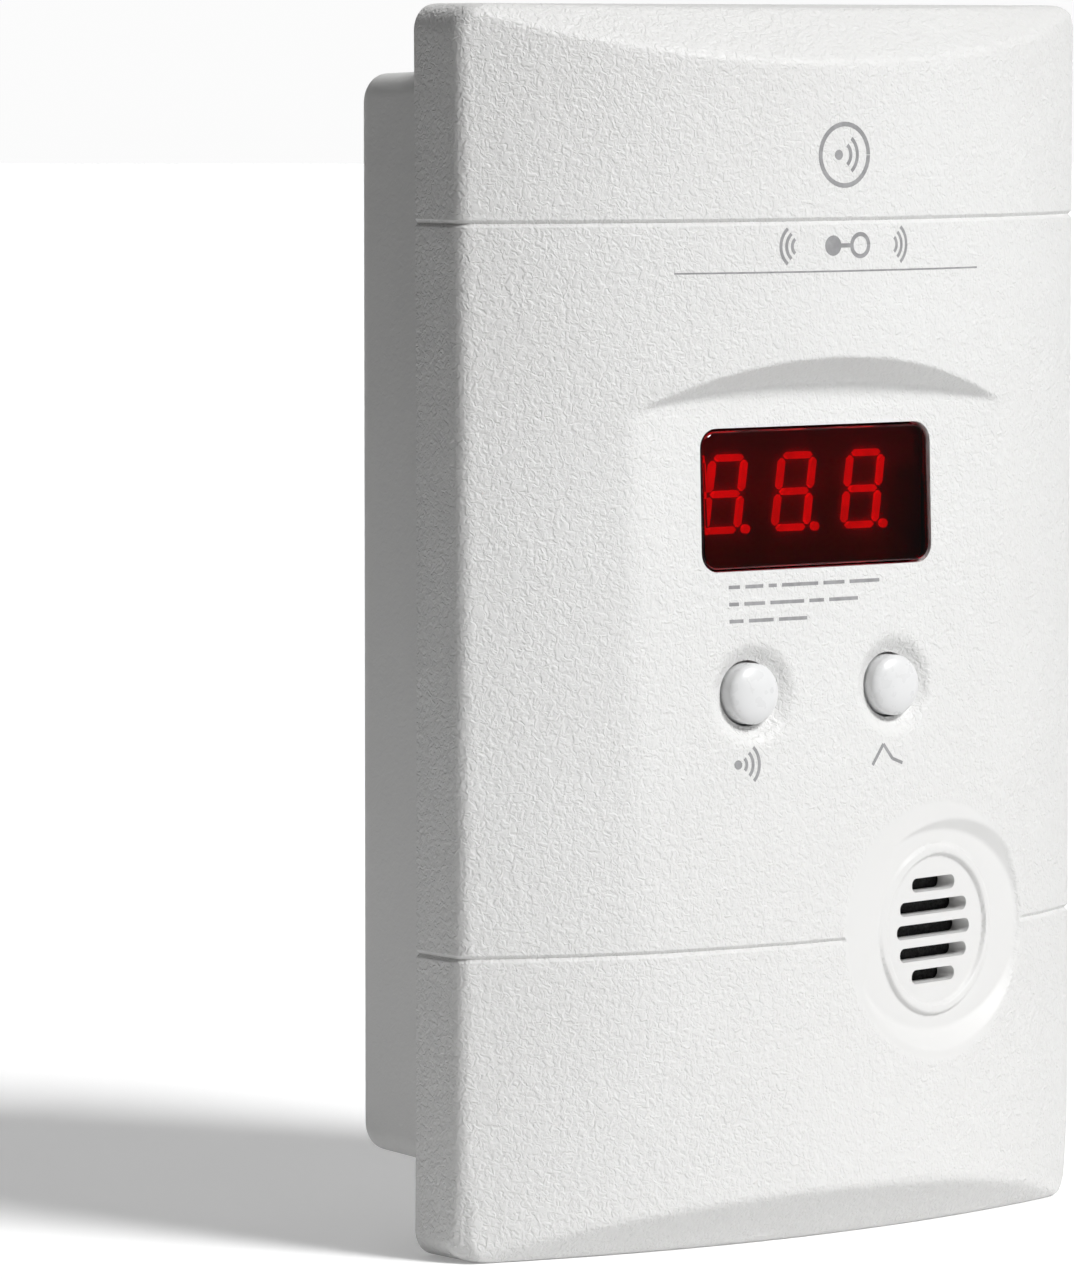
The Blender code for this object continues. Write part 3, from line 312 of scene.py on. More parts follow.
def rounded_rectangle(low, high, radius, steps):
    """Outline of a rectangle with round corners."""
    corners = (
        (high[0] - radius, high[1] - radius),
        (low[0] + radius, high[1] - radius),
        (low[0] + radius, low[1] + radius),
        (high[0] - radius, low[1] + radius),
    )
    points = []
    for quarter, centre in enumerate(corners):
        start = quarter * math.pi / 2.0
        points += arc(centre, radius, start, start + math.pi / 2.0, steps)
    return points


def centred_rectangle(centre, size, radius, steps):
    """Outline of a rounded rectangle about a centre."""
    low = (centre[0] - size[0] / 2.0, centre[1] - size[1] / 2.0)
    high = (centre[0] + size[0] / 2.0, centre[1] + size[1] / 2.0)
    return rounded_rectangle(low, high, radius, steps)


def combine(obj, tool, operation="DIFFERENCE", sharp=35.0):
    """Apply a Boolean with a tool body and drop the tool."""
    modifier = obj.modifiers.new("cut", "BOOLEAN")
    modifier.operation = operation
    modifier.solver = "MANIFOLD"
    modifier.object = tool
    graph = bpy.context.evaluated_depsgraph_get()
    mesh = bpy.data.meshes.new_from_object(obj.evaluated_get(graph))
    obj.modifiers.clear()
    old = obj.data
    obj.data = mesh
    bpy.data.meshes.remove(old)
    bpy.data.objects.remove(tool, do_unlink=True)
    shade(obj, sharp)
    return obj


def soften(obj, width, segments):
    """Round an object's sharp edges."""
    modifier = obj.modifiers.new("edges", "BEVEL")
    modifier.width = width * MM
    modifier.segments = segments
    modifier.limit_method = "ANGLE"
    modifier.angle_limit = math.radians(40.0)
    modifier.harden_normals = False


def stands_for(obj, slot, body, material, *nodes):
    """Let a piece ride on a body in place of CAD nodes."""
    obj.data.materials.clear()
    obj.data.materials.append(material)
    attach(obj, body)
    if nodes:
        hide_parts(*nodes)
    return obj


# ---------------------------------------------------------------- materials

class Nodes:
    """Small helper to wire one material's nodes."""

    def __init__(self, name):
        self.material = bpy.data.materials.new(name)
        self.material.use_nodes = True
        self.tree = self.material.node_tree
        self.shader = self.tree.nodes["Principled BSDF"]
        self.place = self.add("ShaderNodeTexCoord").outputs["Object"]

    def add(self, kind, **values):
        """Add a node and set its properties."""
        node = self.tree.nodes.new(kind)
        for key, value in values.items():
            setattr(node, key, value)
        return node

    def link(self, source, target):
        """Join two sockets."""
        self.tree.links.new(source, target)

    def noise(self, scale, detail=2.0, roughness=0.5, distortion=0.0, place=None):
        """Noise with features about 1/scale metres across."""
        node = self.add("ShaderNodeTexNoise", noise_type="FBM")
        node.inputs["Scale"].default_value = scale
        node.inputs["Detail"].default_value = detail
        node.inputs["Roughness"].default_value = roughness
        node.inputs["Distortion"].default_value = distortion
        self.link(place or self.place, node.inputs["Vector"])
        return node.outputs["Fac"]

    def math(self, operation, a, b):
        """Combine two numbers or sockets."""
        node = self.add("ShaderNodeMath", operation=operation)
        for socket, value in zip(node.inputs, (a, b)):
            if isinstance(value, (int, float)):
                socket.default_value = value
            else:
                self.link(value, socket)
        return node.outputs[0]

    def ramp(self, value, low, high, out_low, out_high):
        """Map a value smoothly between two levels, clamped."""
        node = self.add("ShaderNodeMapRange")
        node.interpolation_type = "SMOOTHSTEP"
        for name, level in zip(("From Min", "From Max", "To Min", "To Max"), (low, high, out_low, out_high)):
            node.inputs[name].default_value = level
        self.link(value, node.inputs["Value"])
        return node.outputs["Result"]

    def tint(self, value, dark, light):
        """Blend two colours by a value and paint the surface with the result."""
        node = self.add("ShaderNodeMix", data_type="RGBA")
        node.inputs["A"].default_value = (*dark, 1.0)
        node.inputs["B"].default_value = (*light, 1.0)
        self.link(value, node.inputs["Factor"])
        self.link(node.outputs["Result"], self.shader.inputs["Base Color"])
        return node

    def bump(self, height, distance_mm):
        """Raise the surface by a height map."""
        node = self.add("ShaderNodeBump")
        node.inputs["Distance"].default_value = distance_mm * MM
        node.inputs["Strength"].default_value = 1.0
        self.link(height, node.inputs["Height"])
        self.link(node.outputs["Normal"], self.shader.inputs["Normal"])

    def set(self, **values):
        """Set uniform values on the shader's own sockets."""
        for name, value in values.items():
            self.shader.inputs[name.replace("_", " ")].default_value = value


def case_material(name, grain_depth, smooth_spot=None):
    """Warm white moulded plastic with a leathery spark-eroded grain, smooth inside the sounder recess."""
    n = Nodes(name)
    fine = n.noise(1500.0, detail=1.5, roughness=0.55, distortion=1.0)
    broad = n.noise(800.0, detail=1.0, distortion=0.6)
    grain = n.math("ADD", n.math("MULTIPLY", fine, 0.75), n.math("MULTIPLY", broad, 0.35))
    grain = n.ramp(grain, 0.36, 0.72, 0.0, 1.0)
    if smooth_spot is not None:
        centre, radius = smooth_spot
        gap = n.add("ShaderNodeVectorMath", operation="DISTANCE")
        gap.inputs[1].default_value = centre
        n.link(n.place, gap.inputs[0])
        mask = n.ramp(gap.outputs["Value"], radius - 1.2 * MM, radius - 0.2 * MM, 0.0, 1.0)
        grain = n.math("MULTIPLY", grain, mask)
    n.bump(grain, grain_depth)
    cloud = n.noise(14.0, detail=3.0)
    n.tint(n.ramp(cloud, 0.3, 0.7, 0.0, 1.0), (0.635, 0.632, 0.625), (0.66, 0.66, 0.654))
    n.link(n.ramp(n.noise(900.0, detail=2.0), 0.3, 0.7, 0.42, 0.56), n.shader.inputs["Roughness"])
    n.set(IOR=1.5)
    return n.material


def plain_material(name, dark, light, roughness, metallic=0.0, scale=300.0, depth=0.01, **extra):
    """General finish: slight colour mottling, uneven roughness and a faint surface texture."""
    n = Nodes(name)
    n.tint(n.ramp(n.noise(scale, detail=3.0), 0.3, 0.7, 0.0, 1.0), dark, light)
    rough = n.ramp(n.noise(scale * 2.3, detail=2.0), 0.3, 0.7, roughness * 0.85, roughness * 1.15)
    n.link(rough, n.shader.inputs["Roughness"])
    n.bump(n.noise(scale * 4.0, detail=2.0), depth)
    n.set(Metallic=metallic, **extra)
    return n.material


def brushed_material(name, dark, light, roughness, stretch):
    """Rolled or drawn metal: fine lines along one axis."""
    n = Nodes(name)
    mapping = n.add("ShaderNodeMapping")
    mapping.inputs["Scale"].default_value = stretch
    n.link(n.place, mapping.inputs["Vector"])
    lines = n.noise(1800.0, detail=2.0, place=mapping.outputs["Vector"])
    n.tint(n.ramp(lines, 0.3, 0.7, 0.0, 1.0), dark, light)
    n.link(n.ramp(lines, 0.3, 0.7, roughness * 0.8, roughness * 1.25), n.shader.inputs["Roughness"])
    n.bump(lines, 0.004)
    n.set(Metallic=1.0)
    return n.material


def lens_material():
    """Polished tinted acrylic."""
    n = Nodes("tinted_acrylic")
    n.tint(n.noise(40.0, detail=2.0), (0.26, 0.0, 0.004), (0.30, 0.0, 0.006))
    n.link(n.ramp(n.noise(500.0), 0.3, 0.7, 0.02, 0.05), n.shader.inputs["Roughness"])
    n.bump(n.noise(60.0, detail=1.0), 0.004)
    n.set(Transmission_Weight=1.0, IOR=1.49, Specular_IOR_Level=0.05)
    return n.material


def figure_material():
    """Lit red light guide, a little uneven along each bar."""
    n = Nodes("lit_figure")
    cloud = n.ramp(n.noise(420.0, detail=1.0), 0.3, 0.7, 0.0, 1.0)
    glow = n.tint(cloud, (0.80, 0.005, 0.02), (1.0, 0.01, 0.05))
    n.link(glow.outputs["Result"], n.shader.inputs["Emission Color"])
    n.set(Emission_Strength=1.8, Roughness=0.5)
    return n.material


def ink_material():
    """Grey printing ink with slightly uneven cover."""
    dark, light = (0.235, 0.235, 0.24), (0.30, 0.30, 0.305)
    return plain_material("grey_ink", dark, light, 0.6, scale=900.0, depth=0.002)


SOUNDER_FRONT = (SOUNDER_X, FRONT_RADIUS - math.sqrt(FRONT_RADIUS ** 2 - SOUNDER_X ** 2), SOUNDER_Z)
SMOOTH_SPOT = (Vector(SOUNDER_FRONT) * MM + CASE, SMOOTH_RADIUS * MM)
MATERIALS = {
    "case": case_material("grained_case", 0.085, SMOOTH_SPOT),
    "rear_case": case_material("rear_case", 0.016),
    "button": plain_material("button_white", (0.645, 0.648, 0.65), (0.655, 0.658, 0.66), 0.3, depth=0.002),
    "lens": lens_material(),
    "figure": figure_material(),
    "display_body": plain_material("display_dark", (0.38, 0.004, 0.008), (0.44, 0.006, 0.010), 0.5),
    "black": plain_material("black_plastic", (0.012, 0.012, 0.012), (0.025, 0.025, 0.026), 0.5),
    "screen": plain_material(
        "dust_screen", (0.004, 0.004, 0.004), (0.02, 0.02, 0.02), 0.8, scale=1500.0, depth=0.05),
    "board": plain_material("solder_mask", (0.02, 0.13, 0.05), (0.035, 0.19, 0.075), 0.35, scale=120.0),
    "steel": brushed_material("plated_steel", (0.55, 0.55, 0.56), (0.68, 0.68, 0.69), 0.3, (1.0, 0.08, 1.0)),
    "brass": brushed_material("bare_brass", (0.66, 0.47, 0.20), (0.78, 0.59, 0.29), 0.28, (1.0, 0.08, 1.0)),
    "winding": brushed_material(
        "enamelled_wire", (0.55, 0.22, 0.09), (0.75, 0.36, 0.16), 0.3, (0.1, 0.1, 1.6)),
    "core": brushed_material("laminations", (0.10, 0.095, 0.09), (0.20, 0.19, 0.185), 0.5, (0.1, 1.5, 0.1)),
    "label": plain_material(
        "blank_label", (0.66, 0.67, 0.68), (0.72, 0.73, 0.74), 0.35, metallic=0.35, scale=90.0),
    "sleeve": plain_material("shrink_sleeve", (0.02, 0.03, 0.11), (0.035, 0.05, 0.16), 0.3),
    "battery": plain_material(
        "battery_jacket", (0.045, 0.045, 0.05), (0.075, 0.075, 0.08), 0.3, metallic=0.3),
    "ink": ink_material(),
}


# ---------------------------------------------------------------- front cover

def front_y(x, inset=0.0):
    """Y of the curved front, or of a surface parallel to it further in."""
    return FRONT_RADIUS - np.sqrt((FRONT_RADIUS - inset) ** 2 - np.square(x))


def recess_middle_y(z):
    """Y of the display recess on its centre line; it leans and runs out below the sounder."""
    return RECESS_FLOOR_Y - RECESS_LEAN * (RECESS_FLOOR_Z - z)


def recess_floor_y(x, z):
    """Y of the flattened floor, which meets the curved front along both sides."""
    middle = recess_middle_y(z)
    share = (x - RECESS_CENTRE_X) / RECESS_HALF_WIDTH
    return middle + (front_y(RECESS_HALF_WIDTH) - middle) * np.square(share)


SOUNDER_COS = math.sqrt(1.0 - (SOUNDER_X / FRONT_RADIUS) ** 2)
SOUNDER_TAN = SOUNDER_X / FRONT_RADIUS / SOUNDER_COS


def sounder_share(x, z):
    """Oval distance from the sounder's axis: 1 where its sloped wall would reach the tangent plane."""
    across = (x - SOUNDER_X) / SOUNDER_COS / SOUNDER_HALF_SIZE[0]
    return np.hypot(across, (z - SOUNDER_Z) / SOUNDER_HALF_SIZE[1])


def sounder_depth(x, z):
    """Depth below the sounder's tangent plane of its flat floor with its raised ring and sloped wall."""
    ring = np.hypot((x - SOUNDER_X) / SOUNDER_COS, z - SOUNDER_Z) - RING_RADIUS
    raised = RING_HEIGHT * smooth_step((RING_HALF_WIDTH + 0.25 - np.abs(ring)) / 0.35)
    wall = (1.0 - sounder_share(x, z)) * SOUNDER_WALL_DEPTH
    return smooth_min(SOUNDER_DEPTH - raised, wall, 0.1)


def surface_y(x, z, inset=0.0, detail=True):
    """Y of the cover's outer surface, with its facets and every recess, or of its plain inner surface."""
    front = front_y(x, inset)
    setback = FACET_SETBACK + inset * math.hypot(1.0, 1.0 / FACET_SLOPE) + np.square(x) / (2.0 * FACET_RADIUS)
    crease = 0.5
    y = front
    if detail:
        wall = RECESS_ARC_RADIUS - np.hypot(x - RECESS_CENTRE_X, z - (RECESS_TOP - RECESS_ARC_RADIUS))
        recess = smooth_min(recess_floor_y(x, z), wall * RECESS_WALL_SLOPE, 0.5)
        y = smooth_max(y, recess, 0.3)
    y = smooth_max(y, setback - z / FACET_SLOPE, crease)
    y = smooth_max(y, setback - (HEIGHT - z) / FACET_SLOPE, crease)
    if not detail:
        return y
    for button_x in BUTTONS.values():
        rim = np.hypot(x - button_x, z - BUTTON_HEIGHT)
        share = (BUTTON_DISH_RADIUS - rim) / (BUTTON_DISH_RADIUS - BUTTON_HOLE_RADIUS + 0.4)
        y = y + BUTTON_DISH_DEPTH * smooth_step(share)
    tangent = float(front_y(SOUNDER_X)) + SOUNDER_TAN * (x - SOUNDER_X)
    return smooth_max(y, tangent + sounder_depth(x, z) / SOUNDER_COS, 0.03)


def groove_depth(z):
    """Depth of the V-shaped seams at a height."""
    depth = 0.0
    for height in SEAM_HEIGHTS:
        share = 1.0 - abs(z - height) / SEAM_HALF_WIDTH
        depth = max(depth, SEAM_DEPTH * max(share, 0.0))
    return depth


def round_over(distance, radius):
    """How far a rounded edge falls back at a distance from the edge."""
    if distance >= radius:
        return 0.0
    return radius - math.sqrt(max(radius ** 2 - (radius - distance) ** 2, 0.0))


def spaced(low, high, coarse, bands):
    """Levels from low to high, closer together inside bands of (centre, half width, step)."""
    levels = [low]
    while levels[-1] < high - 1e-6:
        step = coarse
        for centre, half, fine in bands:
            away = max(abs(levels[-1] - centre) - half, 0.0)
            step = min(step, fine + 0.35 * away)
        levels.append(min(levels[-1] + step, high))
    return levels


def cover_ring(z, inset, rear, shares, detail, side_steps, edge_steps):
    """One level of the cover's skin, from its left rear edge round the front to its right rear edge."""
    fall = round_over(min(z - inset, HEIGHT - inset - z), RIM_RADIUS) if detail else 0.0
    corner = round_over(min(z - inset, HEIGHT - inset - z), max(OUTLINE_RADIUS - inset, 1.0))
    groove = groove_depth(z) if detail else 0.0
    bow = SIDE_BOW * (1.0 - (2.0 * z / HEIGHT - 1.0) ** 2) if detail else 0.0
    half = WIDTH / 2.0 - inset - corner - fall * 0.5 - groove - bow
    edge = max(EDGE_RADIUS - inset, 0.5)

    def front(x):
        """Y of the front along this level."""
        reach = np.hypot((x - SOUNDER_X) / SOUNDER_COS, z - SOUNDER_Z)
        seam = groove * np.clip((reach - SEAM_STOP_RADIUS) / 0.4, 0.0, 1.0) if detail else 0.0
        return surface_y(x, z, inset, detail) + seam + fall * 0.6

    limit = half - edge
    for _ in range(6):
        slope = float(front(np.array(limit + 0.01)) - front(np.array(limit - 0.01))) / 0.02
        limit = half - edge + edge * slope / math.hypot(1.0, slope)
    edge_y = float(front(np.array(limit))) + edge / math.hypot(1.0, slope)
    start = -math.atan2(1.0, slope)
    xs = np.array(shares) * limit
    right = arc((half - edge, edge_y), edge, start, 0.0, edge_steps)[1:]
    right += [(half, edge_y + (rear - edge_y) * i / side_steps) for i in range(1, side_steps + 1)]
    left = [(-x, y) for x, y in reversed(right)]
    ring = left + list(zip(xs.tolist(), front(xs).tolist())) + right
    lift = 0.0
    if detail:
        lift = float(smooth_step((z - 124.0) / (HEIGHT - 124.0)))
    drop = [TOP_BOW * lift * (1.0 - (2.0 * x / WIDTH) ** 2) for x, _ in ring]
    return [(x, y, z - d) for (x, y), d in zip(ring, drop)]


def cover_solid(name, inset, rear, levels, shares, detail, side_steps, edge_steps):
    """Closed body between the cover's skin and a flat back."""
    rings = [cover_ring(z, inset, rear, shares, detail, side_steps, edge_steps) for z in levels]
    count = len(rings[0])
    points = [p for ring in rings for p in ring]
    faces = []
    for k in range(len(rings) - 1):
        a, b = k * count, (k + 1) * count
        faces += [(a + i, a + i + 1, b + i + 1, b + i) for i in range(count - 1)]
    last = (len(rings) - 1) * count
    faces.append(tuple(range(count - 1, -1, -1)))
    faces.append(tuple(range(last, last + count)))
    left = [k * count for k in range(len(rings))]
    right = [k * count + count - 1 for k in range(len(rings))]
    faces.append(tuple(left + right[::-1]))
    return link_mesh(name, points, faces)


def sounder_axis():
    """Foot on the curved front and inward direction of the sounder's axis."""
    angle = math.asin(SOUNDER_X / FRONT_RADIUS)
    foot = Vector((SOUNDER_X, float(front_y(SOUNDER_X)), SOUNDER_Z))
    return foot, Vector((-math.sin(angle), math.cos(angle), 0.0))


def slot_outlines():
    """Outlines of the sounder's slots on its floor, as (across, up) pairs."""
    outlines = []
    for i in range(SLOT_COUNT):
        offset = (i - (SLOT_COUNT - 1) / 2.0) * SLOT_PITCH
        half = math.sqrt(SLOT_REACH ** 2 - offset ** 2)
        outlines.append(centred_rectangle((0.0, offset), (2.0 * half, 2.0 * SLOT_HALF_WIDTH), 0.8, 8))
    return outlines


def front_cover():
    """Curved front shell with every recess, groove and opening."""
    lens_left = LENS_CENTRE[0] - LENS_SIZE[0] / 2.0
    lens_right = LENS_CENTRE[0] + LENS_SIZE[0] / 2.0
    half = WIDTH / 2.0 - EDGE_RADIUS
    bands = [(lens_left, 0.5, 0.2), (lens_right, 0.5, 0.2), (SOUNDER_X, 16.5, 0.22)]
    columns = spaced(-half, half, 0.45, bands)
    shares = [x / half for x in columns]
    bands = [(h, 0.5, 0.07) for h in SEAM_HEIGHTS]
    bands += [(0.0, 0.9, 0.1), (HEIGHT, 0.9, 0.1), (SOUNDER_Z, 16.0, 0.22), (RECESS_TOP - 2.0, 3.0, 0.2)]
    levels = spaced(0.0, HEIGHT, 0.45, bands)
    cover = cover_solid("cover_shell", 0.0, COVER_DEPTH, levels, shares, True, 8, 8)

    coarse = [-1.0 + i / 12.0 for i in range(25)]
    inner_levels = spaced(WALL, HEIGHT - WALL, 4.0, [(WALL, 2.0, 0.7), (HEIGHT - WALL, 2.0, 0.7)])
    cavity = cover_solid("cavity", WALL, COVER_DEPTH + 2.0, inner_levels, coarse, False, 2, 2)
    foot, inward = sounder_axis()
    for keeper in cavity_keepers(foot, inward):
        combine(cavity, keeper)
    combine(cover, cavity)

    slots = Body()
    across = Vector((inward.y, -inward.x, 0.0))
    up = Vector((0.0, 0.0, 1.0))
    for outline in slot_outlines():
        slots.loft([[foot + inward * d + across * a + up * b for a, b in outline] for d in (-2.0, 9.0)])
    combine(cover, slots.make("slots"))

    size = (LENS_SIZE[0] + 2.0 * GAP, LENS_SIZE[1] + 2.0 * GAP)
    cuts = Body().prism(centred_rectangle(LENS_CENTRE, size, LENS_RADIUS + GAP, 8), -4.0, 12.0, "Y")
    bore = ((BUTTON_HOLE_RADIUS, -4.0), (BUTTON_HOLE_RADIUS, 12.0))
    for x in BUTTONS.values():
        cuts.turned(bore, (x, 0.0, BUTTON_HEIGHT), (0, 1, 0), 64)
    for x, z in PILLARS:
        start = float(front_y(x, WALL)) + 2.4
        cuts.turned(((1.8, start), (1.8, 30.0)), (x, 0.0, z), (0, 1, 0), 20)
    combine(cover, cuts.make("openings"), sharp=50.0)
    return stands_for(cover, "case", "root", MATERIALS["case"], "front_cover")


def cavity_keepers(foot, inward):
    """Bodies that stay solid inside the cover: bosses, collars and backings."""
    bosses = Body()
    for x, z in PILLARS:
        bosses.turned(((3.6, 0.0), (3.6, PILLAR_FRONT - 0.6)), (x, 0.0, z), (0, 1, 0), 24)
    for x in BUTTONS.values():
        bosses.turned(((6.6, -1.0), (6.6, BUTTON_COLLAR_BACK)), (x, 0.0, BUTTON_HEIGHT), (0, 1, 0), 32)
    disc = ((SOUNDER_BACK_RADIUS, -1.0), (SOUNDER_BACK_RADIUS, SOUNDER_BACK))
    backing = Body().turned(disc, foot, inward, 48)
    low, high = RECESS_FOOT - 2.0, RECESS_TOP + 2.7
    back = [recess_middle_y(z) + RECESS_WALL for z in (low, high)]
    outline = ((-2.0, low), (back[0], low), (back[1], high), (-2.0, high))
    recess = Body().prism(outline, RECESS_CENTRE_X - 30.0, RECESS_CENTRE_X + 30.0, "X")
    return [bosses.make("bosses"), backing.make("backing"), recess.make("recess_backing")]


# ---------------------------------------------------------------- display and buttons

def lens_y(z):
    """Y of the lens's front plane."""
    return recess_middle_y(z) + LENS_SETBACK


def display_lens():
    """Flat tinted window with a rounded rim."""
    rings = []
    steps = 6
    rim = 0.55
    for i in range(steps + 1):
        angle = math.pi / 2.0 * i / steps
        shrink = rim * (1.0 - math.sin(angle))
        depth = rim * (1.0 - math.cos(angle))
        size = (LENS_SIZE[0] - 2.0 * shrink, LENS_SIZE[1] - 2.0 * shrink)
        outline = centred_rectangle(LENS_CENTRE, size, LENS_RADIUS - shrink, 10)
        rings.append([(x, lens_y(z) + depth, z) for x, z in outline])
    outline = centred_rectangle(LENS_CENTRE, LENS_SIZE, LENS_RADIUS, 10)
    rings.append([(x, lens_y(z) + LENS_THICKNESS, z) for x, z in outline])
    lens = Body().loft(rings).make("lens", 50.0)
    return stands_for(lens, "lens", "root", MATERIALS["lens"], "display_lens")


def bar_outline(start, end):
    """Pointed bar between two flat points, shortened to leave a gap to its neighbours."""
    start = Vector(start)
    end = Vector(end)
    along = (end - start).normalized()
    side = Vector((-along.y, along.x)) * BAR_WIDTH / 2.0
    taper = along * BAR_WIDTH / 2.0
    a = start + along * BAR_TRIM
    b = end - along * BAR_TRIM
    return [a, a + taper + side, b - taper + side, b, b - taper - side, a + taper - side]


def figure(number):
    """Seven lit bars and a point, as one piece of separate closed bars."""
    centre_x = DIGIT_CENTRE[0] + (number - 2) * DIGIT_PITCH
    centre_z = DIGIT_CENTRE[1]
    face = recess_middle_y(centre_z) + DIGIT_FACE_SETBACK
    half_width = (DIGIT_WIDTH - SEGMENT_WIDTH) / 2.0
    half_height = (DIGIT_HEIGHT - SEGMENT_WIDTH) / 2.0
    nodes = [(side * half_width, level * half_height) for level in (1, 0, -1) for side in (-1, 1)]
    body = Body()
    for first, last in ((0, 1), (2, 3), (4, 5), (0, 2), (1, 3), (2, 4), (3, 5)):
        outline = bar_outline(nodes[first], nodes[last])
        slanted = [(centre_x + p.x + p.y * math.tan(DIGIT_SLANT), centre_z + p.y) for p in outline]
        body.prism(slanted, face, face + BAR_DEPTH, "Y")
    point = (centre_x + DIGIT_POINT_X, centre_z - DIGIT_HEIGHT / 2.0 + 0.5)
    body.prism(arc(point, POINT_RADIUS, 0.0, math.pi * 2.0 * 23.0 / 24.0, 23), face, face + BAR_DEPTH, "Y")
    obj = body.make(f"figure_{number}")
    return stands_for(obj, "digit", "root", MATERIALS["figure"], f"digit_{number}")


def display_face():
    """Dark face plate behind the figures, with the module's body."""
    face = recess_middle_y(LENS_CENTRE[1]) + DIGIT_FACE_SETBACK + 0.5
    x = DIGIT_CENTRE[0]
    back = (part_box("display_module")[1].y - CASE.y) / MM
    outline = centred_rectangle((x, LENS_CENTRE[1]), MODULE_SIZE, 0.6, 4)
    module = Body().prism(outline, face, back, "Y").make("module")
    return stands_for(module, "display_body", "root", MATERIALS["display_body"], "display_module")


def push_button(name, x):
    """Domed cap with its retaining rim and stem."""
    radius = BUTTON_HOLE_RADIUS - GAP
    crown = float(recess_floor_y(x, BUTTON_HEIGHT)) - BUTTON_PROUD
    profile = [(0.02, crown)]
    steps = 20
    for i in range(1, steps + 1):
        angle = math.pi / 2.0 * i / steps
        profile.append((radius * math.sin(angle), crown + BUTTON_DOME * (1.0 - math.cos(angle))))
    front, back = BUTTON_RIM
    profile += [(radius, front), (BUTTON_RIM_RADIUS, front), (BUTTON_RIM_RADIUS, back)]
    profile += [(BUTTON_STEM_RADIUS, back), (BUTTON_STEM_RADIUS, BUTTON_STEM_END)]
    body = Body().turned(profile, (x, 0.0, BUTTON_HEIGHT), (0, 1, 0), 64)
    obj = body.make(f"{name}_cap")
    return stands_for(obj, "button", f"{name}_button", MATERIALS["button"], f"{name}_button")


# ---------------------------------------------------------------- rear

def pan_rings(wall, front, corner_steps, edge_steps):
    """Rings of the drafted pan with its rounded rear edge."""
    back = DEPTH - wall
    radius = max(PAN_BACK_RADIUS - wall, 1.0)
    draft = (back - radius - FLANGE_BACK) * PAN_DRAFT
    levels = [(front, wall)]
    for i in range(edge_steps + 1):
        angle = math.pi / 2.0 * i / edge_steps
        inset = wall + draft + radius * (1.0 - math.cos(angle))
        levels.append((back - radius + radius * math.sin(angle), inset))
    rings = []
    for y, inset in levels:
        low = (-PAN_HALF_WIDTH + inset, PAN_BOTTOM + inset)
        high = (PAN_HALF_WIDTH - inset, PAN_TOP - inset)
        rings.append([(x, y, z) for x, z in rounded_rectangle(low, high, PAN_CORNER, corner_steps)])
    return rings


def flange_outline():
    """Outline of the housing's flange inside the cover."""
    inset = WALL + GAP
    low = (-WIDTH / 2.0 + inset, inset)
    high = (WIDTH / 2.0 - inset, HEIGHT - inset)
    return rounded_rectangle(low, high, OUTLINE_RADIUS - inset, 8)


def back_openings():
    """Tool body for the counterbores, vents, plug opening and label pocket."""
    body = Body()
    profile = [(1.9, 10.0), (1.9, COUNTERBORE_FLOOR), (3.3, COUNTERBORE_FLOOR)]
    profile += [(3.3, DEPTH - 0.5), (4.3, DEPTH + 0.5)]
    for x, z in PILLARS:
        body.turned(profile, (x, 0.0, z), (0, 1, 0), 40)
    size = (PLUG_BASE[0] + 2.0 * GAP, PLUG_BASE[1] + 2.0 * GAP)
    body.prism(centred_rectangle((0.0, PLUG_HEIGHT), size, 3.0, 8), 36.0, DEPTH + 2.0, "Y")
    middle = (VENT_Z[0] + VENT_Z[1]) / 2.0
    for i in range(VENT_COUNT):
        for side in (-1.0, 1.0):
            x = side * (5.0 + i * VENT_PITCH)
            outline = centred_rectangle((x, middle), (1.8, VENT_Z[1] - VENT_Z[0]), 0.85, 6)
            body.prism(outline, 36.0, DEPTH + 2.0, "Y")
    size = (2.0 * (LABEL_HALF_WIDTH + GAP), LABEL_Z[1] - LABEL_Z[0] + 2.0 * GAP)
    outline = centred_rectangle((0.0, (LABEL_Z[0] + LABEL_Z[1]) / 2.0), size, 1.8, 6)
    body.prism(outline, DEPTH - 0.7, DEPTH + 2.0, "Y")
    return body.make("back_openings")


